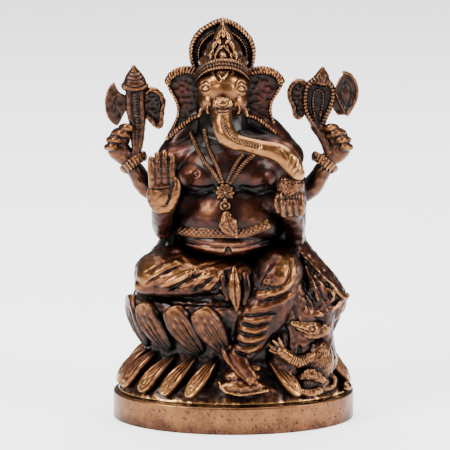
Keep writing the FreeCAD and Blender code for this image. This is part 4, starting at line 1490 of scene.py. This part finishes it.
class Crown:
    """Stepped crown with its beaded band, flower crest and rayed halo."""

    def make(self) -> None:
        """Model the halo, the crown's cap, its band and its crest."""
        self._halo()
        self._cap()
        self._band()
        self._crest()

    @staticmethod
    def _halo() -> None:
        """Pointed halo with a rope-cut rim and a line inside it."""
        outline = [
            (-17, 161), (-18.6, 165), (-19.4, 170), (-18.6, 175), (-15.8, 179.2), (-11.5, 182.3), (-8, 184),
            (-5, 184.8), (-2, 184), (1.5, 182.2), (5, 179.2), (8, 175), (9, 170), (8.2, 165), (6.8, 161)]

        def inwards(place: Spot) -> Spot:
            """Spot of the line inside the rim."""
            return (HEAD_MIDDLE + (place[0] - HEAD_MIDDLE) * 0.78, 165 + (place[1] - 165) * 0.8)

        rim = line(*outline, spacing=1.2)
        clay = Clay()
        clay.slab(rim, 3.0, 1.8)
        clay.roll([(*place, 2.0, 1.5, 2.4) for place in rim], spacing=0.7)
        clay.roll([(*inwards(place), 1.0, 0.8, 1.4) for place in outline[1:-1]], spacing=0.7)
        skin = clay.fuse(0.32, 2)
        skin.hatch(rim, 2.0, 1.6, 0.6, 0.4)
        skin.hatch(np.array([inwards(place) for place in rim[6:-6]]), 0.9, 1.2, 0.4)
        skin.grain_noise(2.0, 0.2)
        cast("crown_halo", skin, HALO_BRASS, "crown_halo")

    @staticmethod
    def _cap() -> None:
        """Dark cap of the crown inside the halo."""
        clay = Clay()
        clay.ball(spot(HEAD_MIDDLE, 165.5, -6), (11.6, 10.2, 5.0))
        clay.ball(spot(HEAD_MIDDLE, 168, -6), (9.0, 9.0, 9.5))
        clay.roll([(HEAD_MIDDLE, 168, -9, 7.0, 7.0), (HEAD_MIDDLE, 175, -7.5, 5.2, 5.6),
                   (HEAD_MIDDLE, 180, -6.5, 3.0, 4.6), (HEAD_MIDDLE, 183, -6, 1.2, 3.0)])
        clay.ball(spot(HEAD_MIDDLE, 176, -2), (4.5, 6.0, 6.5))
        skin = clay.fuse(0.45, 3)
        skin.grain_noise(2.0, 0.4)
        cast("crown", skin, HALO_BRASS, "crown")

    @staticmethod
    def _band() -> None:
        """Beaded band over the brow, between two cut ridges."""
        upper = line((-17, 161), (-13.5, 163.8), (-9, 165.2), (-5, 165.6), (-0.5, 165.3), (3.5, 164),
                     (7, 161), spacing=1.5)
        lower = line((-17, 157.5), (-14, 160.2), (-10, 161.8), (-5, 162.4), (0, 162), (4.2, 160.2),
                     (7.2, 157.3), spacing=1.5)
        clay = Clay()
        for path, deep in ((upper, -19.3), (lower, -20.2)):
            clay.roll([(x, v, brow_depth(x, front=deep), 0.85, 1.4) for x, v in path], spacing=0.6)
        middle = line((-16.5, 159.6), (-13.2, 162.1), (-9, 163.6), (-5, 164), (-0.5, 163.6), (3.8, 162.1),
                      (7, 159.4), spacing=0.5)
        clay.roll([(x, v, brow_depth(x, front=-18.8), 1.0, 1.2) for x, v in middle], spacing=0.6)
        for x, v in middle[::3]:
            clay.ball(spot(x, v, brow_depth(x, front=-20.0)), (0.8, 0.9, 0.75))
        skin = clay.fuse(0.22, 1)
        skin.hatch(upper, 1.0, 1.3, 0.35, 0.4)
        skin.hatch(lower, 1.0, 1.3, 0.35, 0.4)
        cast("crown_band", skin, CHASED_BRASS, "crown_band")

    @staticmethod
    def _crest() -> None:
        """Flower crest on the crown's front: a drop in a pointed arch, leaves beside it and a tip above."""
        def at(across: float, drawn: float, lift: float = 0.0) -> tuple[float, float, float]:
            """Place on the crown's front, which leans back as it rises."""
            return across, drawn, brow_depth(across, 11.0, -17.5 + 0.42 * (drawn - 165.0), -4.0) - lift

        clay = Clay()
        for side in (-1.0, 1.0):
            def mirrored(across: float, drawn: float) -> tuple[float, float, float]:
                """Place on this side of the crest's middle line."""
                return at(HEAD_MIDDLE + side * across, drawn)

            clay.roll([(*mirrored(3.6, 165.2), 0.6, 0.9), (*mirrored(3.4, 168.5), 0.7, 1.0),
                       (*mirrored(0.6, 172), 0.6, 0.9)], spacing=0.5)
            clay.roll([(*mirrored(5.6, 166.5), 0.7, 0.9), (*mirrored(5.4, 168.5), 1.3, 1.2),
                       (*mirrored(4.6, 171), 0.5, 0.8)], spacing=0.5)
            clay.roll([(*mirrored(4.6, 170.5), 0.6, 0.9), (*mirrored(4.0, 172.8), 1.2, 1.2),
                       (*mirrored(2.4, 174.6), 0.5, 0.8)], spacing=0.5)
            clay.roll([(*mirrored(1.4, 173.6), 0.7, 1.0), (*mirrored(2.4, 176.4), 1.1, 1.2),
                       (*mirrored(1.0, 179), 0.6, 0.8)], spacing=0.5)
        clay.ball(spot(*at(HEAD_MIDDLE, 167.4, 0.3)), (1.7, 1.5, 1.9))
        clay.roll([(*at(HEAD_MIDDLE, 177), 1.0, 1.1), (*at(HEAD_MIDDLE, 180.5), 0.9, 1.1),
                   (*at(HEAD_MIDDLE, 183), 0.4, 0.6)], spacing=0.5)
        skin = clay.fuse(0.22, 2)
        skin.grain_noise(0.9, 0.25)
        cast("crest", skin, CREST_BRASS, "crest")


# ------------------------------------------------------------------------------------------
# Arms and what the hands hold
# ------------------------------------------------------------------------------------------

class Arms:
    """Four arms: the front ones bless and hold a sweet, the rear ones are raised."""

    def make(self) -> None:
        """Model each arm and hand."""
        self._front_right()
        self._front_left()
        self._rear(-1.0)
        self._rear(1.0)

    @staticmethod
    def _front_right() -> None:
        """Right arm with the palm held up towards the front."""
        clay = Clay()
        clay.roll([(-26, 121, -4, 7.5, 7.5), (-31.5, 108, -6, 6.2, 7.0), (-33, 95, -10, 5.4, 6.5),
                   (-32.5, 88, -14, 4.8, 5.5)])
        clay.roll([(-33, 89.5, -14, 5.0, 5.2), (-33, 93, -22, 4.8, 4.6), (-32.5, 98, -29, 5.4, 3.4)])
        arm = clay.fuse(0.4, 3)
        arm.grain_noise(3.0, 0.3)
        cast("front_right_arm", arm, RUDDY_BRASS, "front_right_arm")
        clay = Clay()
        clay.ball(spot(-32.6, 103.5, -31), (7.4, 3.4, 8.6))
        clay.ball(spot(-32.4, 98.5, -31), (5.8, 3.2, 3.6))
        fingers = ((-37.7, 120.2, -0.6), (-34.8, 122.2, -0.2), (-31.8, 123.0, 0.0), (-28.5, 121.4, 0.5))
        for across, top, lean in fingers:
            clay.roll([(across + 0.6, 107, -31.5, 1.7, 1.8), (across + 0.1, 114, -31.8, 1.78, 1.8),
                       (across + lean * 0.4, top, -30.8, 1.45, 1.5)], spacing=0.7)
        clay.roll([(-29.5, 99, -32, 2.6, 2.4), (-27, 104, -33, 2.5, 2.2), (-26, 108.5, -33, 1.8, 1.7),
                   (-26.6, 111, -32.8, 1.0, 1.2)], spacing=0.7)
        hand = clay.fuse(0.28, 2)
        hand.groove(line((-39, 106.8), (-34, 106.2), (-28.5, 107.4)), 0.45, 0.7)
        hand.groove(line((-31, 106.2), (-29.4, 103), (-31.5, 98.5)), 0.4, 0.6)
        for start in ((-39, 110.8), (-39, 115.2), (-38.8, 119.0)):
            end = (-27.2, start[1] + 0.7)
            hand.groove(line(start, (-33, start[1] + 0.9), end), 0.35, 0.2)
        hand.grain_noise(2.0, 0.2)
        # Painted highlight on the lower palm, fingers a little darker.
        hand.rub_and_paint_light((-32.5, 100, 6, 4, 0.2), (-33, 115, 6, 6, -0.04))
        cast("front_right_hand", hand, HAND_BRASS, "front_right_hand")

    @staticmethod
    def _front_left() -> None:
        """Left arm, its fist under the trunk with the sweet ball on it."""
        clay = Clay()
        clay.roll([(24, 121, -4, 7.5, 7.5), (28.5, 108, -5, 5.4, 7.0), (29, 95, -8, 5.0, 6.5),
                   (28.6, 84, -11, 4.6, 6.0)])
        clay.roll([(28.8, 86, -12, 4.6, 5.0), (28, 91, -20, 4.6, 4.6), (26.5, 95.5, -27, 4.8, 4.2)])
        arm = clay.fuse(0.4, 3)
        arm.groove(line((31.4, 100), (32, 90), (31.6, 80)), 0.7, -0.4)
        arm.grain_noise(3.0, 0.3)
        cast("front_left_arm", arm, RUDDY_BRASS, "front_left_arm")
        clay = Clay()
        clay.ball(spot(26.2, 99, -29.5), (6.4, 5.0, 5.4))
        for index, across in enumerate((22.6, 25.6, 28.5, 31.0)):
            clay.roll([(across - 0.4, 103.6, -33.0, 1.7, 1.8), (across, 99, -34.6, 1.75, 1.9),
                       (across + 0.2, 95.0 + 0.3 * index, -33, 1.5, 1.7)], spacing=0.7)
        clay.roll([(20.6, 103.5, -32, 1.7, 1.8), (19.8, 100, -33.5, 1.6, 1.8), (20.6, 96.6, -33, 1.3, 1.5)],
                  spacing=0.7)
        fist = clay.fuse(0.28, 2)
        fist.groove(line((19, 101.2), (25, 102.2), (32, 101.4)), 0.4, 0.25)
        fist.grain_noise(2.0, 0.2)
        cast("front_left_hand", fist, HAND_BRASS, "front_left_hand")
        clay = Clay()
        clay.ball(spot(26, 108, -31), (6.3, 5.6, 5.6))
        ball = clay.fuse(0.3, 2)
        ball.grain_noise(0.8, 0.35)
        rng = np.random.default_rng(3)
        ball.dots([(20.5 + 11 * a, 103.5 + 9.5 * b) for a, b in rng.random((45, 2))], 0.45, 0.15)
        cast("sweet_ball", ball, HAND_BRASS, "sweet_ball")

    @staticmethod
    def _rear(side: float) -> None:
        """Raised rear arm with its ribbed bracelet and curled hand.

        Args:
            side: -1 for the figure's right arm, 1 for the left one.
        """
        def at(across: float, drawn: float, deep: float) -> tuple[float, float, float]:
            """Place given for the right arm, mirrored about the body's middle for the left arm."""
            return (across, drawn, deep) if side < 0 else (-2.6 - across * 0.965, drawn, deep)

        word = "right" if side < 0 else "left"
        clay = Clay()
        clay.roll([(*at(-22, 117, 2), 7.0, 7.0), (*at(-33, 106.5, 3), 5.8, 6.5),
                   (*at(-40.5, 108, 3), 5.0, 5.8), (*at(-45.5, 115, 2.5), 4.2, 5.0),
                   (*at(-49, 120.5, 2), 3.8, 4.2)])
        arm = clay.fuse(0.4, 3)
        arm.grain_noise(3.0, 0.3)
        cast("rear_%s_arm" % word, arm, ARM_BRASS, "rear_%s_arm" % word)
        clay = Clay()
        band = line(at(-41.6, 122.4, 0)[:2], at(-46.6, 119.6, 0)[:2], at(-51.4, 115.6, 0)[:2], spacing=1.0)
        depths = (0.5, -2.2, -3.6, -3.9, -3.4, -1.8, 0.8)
        strip = [(*band[round(step * (len(band) - 1) / 6)], depth) for step, depth in enumerate(depths)]
        clay.roll([(*place, 2.5, 1.2) for place in strip], spacing=0.6)
        ring = clay.fuse(0.25, 1)
        ring.hatch(band, 2.7, 1.75, 0.55)
        ring.grain_noise(0.8, 0.15)
        cast("%s_bracelet" % word, ring, CHASED_BRASS, "%s_bracelet" % word)
        clay = Clay()
        clay.roll([(*at(-47.5, 120, 1), 3.8, 4.0), (*at(-51.5, 123, 0.5), 4.9, 4.4),
                   (*at(-54, 126, 0), 5.4, 4.4), (*at(-54.5, 128.5, 0), 4.0, 4.0)])
        clay.ball(spot(*at(-53.2, 130.3, -0.5)), (5.0, 4.0, 5.4))
        for start, end in (((-46.8, 134.6), (-52.0, 135.4)), ((-48.6, 131.6), (-55.2, 133.0)),
                           ((-51.5, 128.8), (-57.8, 129.8)), ((-54, 125.8), (-58.8, 126.4))):
            knuckle = at((start[0] + end[0]) / 2, (start[1] + end[1]) / 2 + 0.5, -4.2)
            clay.roll([(*at(*start, -2.0), 1.7, 2.0), (*knuckle, 1.9, 2.0), (*at(*end, -2.2), 1.7, 2.0)],
                      spacing=0.6)
        hand = clay.fuse(0.28, 2)
        hand.grain_noise(2.0, 0.2)
        cast("rear_%s_hand" % word, hand, HAND_BRASS, "rear_%s_hand" % word)


class Tools:
    """Axes, the budded staff, the noose and the dark flanges behind them."""

    def make(self) -> None:
        """Model what both raised hands hold."""
        self._right()
        self._left()

    @staticmethod
    def _right() -> None:
        """Staff with a bud, a crescent axe to its right and a flange to its left."""
        clay = Clay()
        for place in (-1.0, 0.0, 1.0):
            clay.roll([(-47.0 + 0.6 * place, 119, 0, 1.4, 2.2), (-45.2 + 1.2 * place, 126, -1, 1.5, 2.2),
                       (-44.8 + 2.2 * place, 136, -1, 1.6, 2.4), (-45.6 + 2.9 * place, 144, -1, 1.7, 2.4),
                       (-45.8 + 2.9 * place, 152, -1, 1.7, 2.4)], spacing=0.8)
        clay.ball(spot(-46, 154.6, -0.5), (6.6, 4.6, 3.0))
        clay.roll([(-46, 156.5, -0.5, 5.6, 4.0), (-46.2, 160, -0.3, 3.8, 3.2), (-46.4, 163.6, 0, 1.0, 1.2)])
        staff = clay.fuse(0.3, 2)
        spine = line((-44.9, 131), (-45.4, 142), (-45.8, 151.5))
        staff.hatch(spine, 1.2, 1.4, 0.5)
        staff.groove(line((-52, 155.6), (-46, 153.8), (-40, 155.4)), 0.4, 0.7)
        for level, half in ((157.6, 5.4), (159.4, 4.4), (161.2, 3.2)):
            ring = line((-46.2 - half, level + 0.6), (-46.2, level - 0.6), (-46.2 + half, level + 0.6))
            staff.groove(ring, 0.35, 0.5)
        staff.grain_noise(2.0, 0.2)
        cast("right_staff", staff, TOOL_BRASS, "right_staff")
        outline = [(-55.8, 156.6), (-58.6, 153), (-60, 147.5), (-59.4, 142), (-57, 138), (-54.4, 136.6),
                   (-52.5, 139), (-50.5, 143), (-48.5, 145), (-48.5, 150), (-51, 150.6), (-53.5, 152)]
        clay = Clay()
        edge = line(*outline, spacing=1.0)
        clay.slab(edge, 0.0, 1.3)
        axe = clay.fuse(0.28, 2)
        axe.groove(line((-53.6, 151), (-55.5, 147), (-53.5, 142), (-51.5, 141.5)), 0.45, 0.5)
        axe.grain_noise(2.5, 0.25)
        cast("right_axe", axe, TOOL_BRASS, "right_axe")
        clay = Clay()
        flange = line((-41.5, 151.5), (-38, 153), (-34.8, 151.5), (-32.8, 147.5), (-33.4, 143),
                      (-33.8, 139.5), (-34.3, 136.2), (-36.5, 136.8), (-39, 139.5), (-42, 142), spacing=1.5)
        clay.slab(flange, 1.0, 1.4)
        clay.roll([(*place, -0.2, 1.3, 1.5) for place in flange[1:-2]], spacing=0.7)
        skin = clay.fuse(0.32, 2)
        skin.grain_noise(1.6, 0.4)
        cast("right_flange", skin, DARK_BRASS, "right_flange")

    @staticmethod
    def _left() -> None:
        """Beaded noose with a D-shaped axe to its left and a flange to its right."""
        outer = [(44.5, 125), (41.5, 132), (37, 137.5), (34, 143), (33.4, 149), (34.6, 154.6), (38, 157.6),
                 (42, 157.6), (45.2, 155), (46.2, 150.5), (44.8, 145), (42.4, 139.5), (41, 136)]
        inner = [(39.6, 137), (37.8, 141), (37.0, 146.5), (37.4, 151.4), (39.5, 153.2), (41.4, 151.6),
                 (41.6, 147), (40.4, 141)]
        clay = Clay()
        clay.roll([(*place, -1.0, 1.5, 2.2) for place in outer], spacing=0.7)
        clay.roll([(*place, -0.8, 0.9, 1.8) for place in inner], spacing=0.7)
        clay.slab(line(*outer[3:], spacing=1.5), -0.4, 1.1)
        clay.roll([(40.6, 156.5, -0.5, 5.4, 3.4), (41.0, 158.6, -0.4, 3.8, 3.0)], blunt=0.6)
        clay.roll([(41.2, 159.6, -0.4, 3.4, 2.8), (41.4, 163.2, 0, 0.9, 1.1)], blunt=0.6)
        clay.roll([(44.5, 124, -0.5, 2.4, 2.6), (42.4, 130, -0.5, 2.6, 2.6), (38.5, 136.5, -0.5, 3.0, 2.4)])
        noose = clay.fuse(0.28, 2)
        noose.hatch(line(*outer[2:]), 1.9, 1.6, 0.6, 0.2)
        noose.hatch(line(*inner), 1.2, 1.4, 0.4)
        noose.grain_noise(2.0, 0.15)
        cast("left_noose", noose, TOOL_BRASS, "left_noose")
        outline = [(47.4, 152.5), (50.0, 158.6), (51.4, 161.0), (54.6, 159.4), (57.2, 154.6), (57.2, 149),
                   (55.2, 144.8), (53.0, 141.6), (48.6, 141.4), (46.4, 144.0), (46.4, 149)]
        clay = Clay()
        edge = np.array(outline)
        clay.slab(edge, 0.0, 1.2)
        clay.roll([(*place, -0.6, 0.9, 1.2) for place in line(*outline[2:8], spacing=1.0)], spacing=0.7)
        clay.roll([(50.0, 158.6, -1.0, 0.6, 1.0), (47.6, 153, -1.0, 0.6, 1.0), (48.4, 149.5, -1.0, 0.6, 1.0),
                   (51.4, 143, -1.0, 0.6, 1.0)], spacing=0.7)
        axe = clay.fuse(0.28, 2)
        panel = np.array([
            (52, 157.4), (54.4, 153), (54.4, 149), (52.6, 144.8), (50.2, 148), (49, 151), (52, 157.4)])
        axe.groove(panel, 0.5, 0.5, taper=0.0)
        axe.grain_noise(2.5, 0.25)
        cast("left_axe", axe, TOOL_BRASS, "left_axe")
        clay = Clay()
        flange = line((33.5, 156), (30, 157), (27, 154.5), (26.2, 150), (28, 145.5), (29.5, 140.5),
                      (33, 141.5), spacing=1.5)
        clay.slab(flange, 1.5, 1.4)
        clay.roll([(*place, 0.5, 1.3, 1.5) for place in flange[:-1]], spacing=0.7)
        skin = clay.fuse(0.32, 2)
        skin.grain_noise(1.6, 0.4, 4.0)
        cast("left_flange", skin, DARK_BRASS, "left_flange")


# ------------------------------------------------------------------------------------------
# Mouse
# ------------------------------------------------------------------------------------------

class Mouse:
    """Furry mouse that sits up beside the seat with its paws raised."""

    def make(self) -> None:
        """Model the head, the body and the raised arm."""
        self._head()
        self._body()
        self._arm()

    @staticmethod
    def _head() -> None:
        """Head that looks to the figure's right, with round ears and a ringed eye."""
        clay = Clay()
        clay.ball(spot(36, 42, -22), (5.6, 5.5, 4.0))
        clay.roll([(35, 42, -24, 3.6, 3.8), (30.5, 43.4, -26, 2.4, 2.6), (27.2, 44.6, -27, 1.2, 1.4)])
        clay.roll([(31, 40, -24, 1.6, 1.8), (36, 38.8, -24, 2.4, 2.4), (41, 39.5, -23, 2.0, 2.0)])
        clay.ball(spot(42.4, 41.4, -23), (2.6, 2.4, 2.8))
        clay.ball(spot(38, 48.5, -20), (4.4, 3.0, 2.6))
        clay.ball(spot(31.5, 47, -21), (2.4, 2.4, 2.0))
        skin = clay.fuse(0.28, 2)
        skin.groove(ring_line((36.5, 41.6), 1.2), 0.35, 0.5, taper=0.0)
        skin.groove(line((28, 42.6), (33, 41), (36, 39.6)), 0.4, 0.6)
        skin.groove(line((40, 43.5), (42.5, 44.6), (44.6, 43)), 0.4, 0.5)
        skin.groove(line((33.5, 46), (38, 46.4), (43, 45.6)), 0.6, 0.8)
        skin.grain_noise(1.5, 0.2)
        cast("mouse_head", skin, MOUSE_BRASS, "mouse_head")

    @staticmethod
    def _body() -> None:
        """Body cut all over with strokes of fur, with its feet and tail on the deck."""
        clay = Clay()
        clay.ball(spot(39, 26, -19), (8.0, 7.5, 12.0))
        clay.ball(spot(37, 17, -21), (8.0, 6.5, 6.0))
        clay.roll([(30, 13, -27, 1.6, 1.8), (35, 12, -28, 2.2, 2.2), (40, 13, -27, 2.0, 2.0)])
        clay.roll([(31.5, 19, -25, 2.0, 2.2), (36, 20.5, -27, 3.2, 2.4), (41, 18, -26, 2.2, 2.2)])
        clay.roll([(44, 21, -20, 1.2, 1.4), (47, 18, -20, 1.4, 1.5), (46, 14.5, -21, 1.4, 1.5),
                   (42, 13.6, -24, 1.3, 1.4)])
        clay.ball(spot(53, 14, -9), (3.0, 4.0, 2.4))
        skin = clay.fuse(0.32, 2)
        for row in range(7):
            drawn = 33.5 - 3.2 * row
            path = line((31.5, drawn), (38, drawn - 1.2), (45.5, drawn + 0.4))
            skin.hatch(path, 1.7, 1.1, 0.28, 0.5 * (-1) ** row)
        skin.grain_noise(1.5, 0.3)
        cast("mouse_body", skin, MOUSE_BRASS, "mouse_body")

    @staticmethod
    def _arm() -> None:
        """Raised furry arm with four fingers."""
        clay = Clay()
        clay.roll([(37, 29, -23, 3.2, 3.0), (31, 26.4, -27, 3.0, 2.8), (26, 28.4, -29, 2.8, 2.6),
                   (22, 31.5, -29.5, 2.6, 2.4)])
        for start, end in (((21, 33.5), (18.4, 36.4)), ((20, 32), (16.8, 34.2)), ((20, 30.8), (17, 31.8)),
                           ((22.5, 34.2), (21, 37.2))):
            clay.roll([(*start, -29.5, 1.1, 1.2), (*end, -30, 0.8, 0.9)], spacing=0.6)
        skin = clay.fuse(0.28, 2)
        skin.hatch(line((35, 27.8), (31, 26.3), (26.5, 28)), 2.8, 1.1, 0.45)
        skin.grain_noise(1.5, 0.2)
        cast("mouse_arm", skin, MOUSE_BRASS, "mouse_arm")


# ------------------------------------------------------------------------------------------
# Studio
# ------------------------------------------------------------------------------------------

class Studio:
    """Pale floor, soft light from a white room, and the camera at the drawing's angle."""

    # Lamps: name, place and side in metres, and power in watts.
    LAMPS = (
        ("key_left", (-0.8, -0.7, 0.8), 0.5, 24.0),
        ("key_right", (0.85, -0.5, 0.5), 0.4, 12.0),
        ("top", (0.0, 0.25, 1.3), 1.3, 45.0),
    )
    LIT_PLACE = Vector((0.0, 0.0, 0.1))
    ROOM_LIGHT = 0.28
    FLOOR_HALF = 6.0
    FLOOR_GLOW = 1.2
    # How far the floor lies under the base, in millimetres, so that the two do not touch.
    FLOOR_GAP = 0.02
    # Camera: its distance and the width of its view at the figure, in metres, then its
    # sensor's width and where it looks from the middle of the CAD box, in millimetres.
    DISTANCE = 1.5
    VIEW_WIDTH = 0.2115
    SENSOR = 36.0
    AIM = Vector((-4.0, 0.0, -2.8))

    def make(self) -> None:
        """Set the floor, the lights and the camera."""
        self._floor()
        self._world()
        for lamp in self.LAMPS:
            self._light(*lamp)
        self._camera()

    def _floor(self) -> None:
        """Pale sheet that the figure stands on."""
        paper = bmesh.new()
        bmesh.ops.create_grid(paper, x_segments=1, y_segments=1, size=self.FLOOR_HALF)
        mesh = bpy.data.meshes.new("floor")
        paper.to_mesh(mesh)
        paper.free()
        floor = bpy.data.objects.new("floor", mesh)
        floor.location.z = (BASE.z - self.FLOOR_GAP) * MM
        bpy.context.scene.collection.objects.link(floor)
        paint = bpy.data.materials.new("white_paper")
        paint.use_nodes = True
        shader = paint.node_tree.nodes["Principled BSDF"]
        shader.inputs["Base Color"].default_value = srgb("#F7F7F7")
        shader.inputs["Roughness"].default_value = 0.9
        shader.inputs["Specular IOR Level"].default_value = 0.1
        shader.inputs["Emission Color"].default_value = srgb("#FFFFFF")
        shader.inputs["Emission Strength"].default_value = self.FLOOR_GLOW
        mesh.materials.append(paint)

    def _world(self) -> None:
        """White room all round."""
        world = bpy.data.worlds.new("room")
        world.use_nodes = True
        shader = world.node_tree.nodes["Background"]
        shader.inputs["Color"].default_value = srgb("#FFFFFF")
        shader.inputs["Strength"].default_value = self.ROOM_LIGHT
        bpy.context.scene.world = world

    def _light(self, name: str, place: tuple[float, float, float], size: float, power: float) -> None:
        """Square soft light aimed at the figure's chest.

        Args:
            name: Name of the light.
            place: Where it stands, in metres.
            size: Side of the square, in metres.
            power: Its power, in watts.
        """
        lamp = bpy.data.lights.new(name, "AREA")
        lamp.size = size
        lamp.energy = power
        piece = bpy.data.objects.new(name, lamp)
        piece.location = place
        aim = self.LIT_PLACE - Vector(place)
        piece.rotation_euler = aim.to_track_quat("-Z", "Y").to_euler()
        bpy.context.scene.collection.objects.link(piece)

    def _camera(self) -> None:
        """Long lens at the drawing's tilt."""
        low, high = (Vector(corner) for corner in CAD_BOX)
        target = (low + high) / 2.0 + self.AIM * MM
        lens = bpy.data.cameras.new("camera")
        lens.lens = self.SENSOR * self.DISTANCE / self.VIEW_WIDTH
        lens.clip_end = 50.0
        camera = bpy.data.objects.new("camera", lens)
        camera.location = target + Vector((0.0, -math.cos(TILT), math.sin(TILT))) * self.DISTANCE
        camera.rotation_euler = (target - camera.location).to_track_quat("-Z", "Y").to_euler()
        bpy.context.scene.collection.objects.link(camera)
        bpy.context.scene.camera = camera


def main() -> None:
    """Build the figure and the studio."""
    logging.basicConfig(level=logging.INFO, format="%(name)s: %(message)s")
    for part in (Lotus(), Torso(), Legs(), Head(), Crown(), Arms(), Tools(), Mouse(), Studio()):
        LOG.info("building %s", type(part).__name__)
        part.make()


if __name__ == "__main__":
    main()
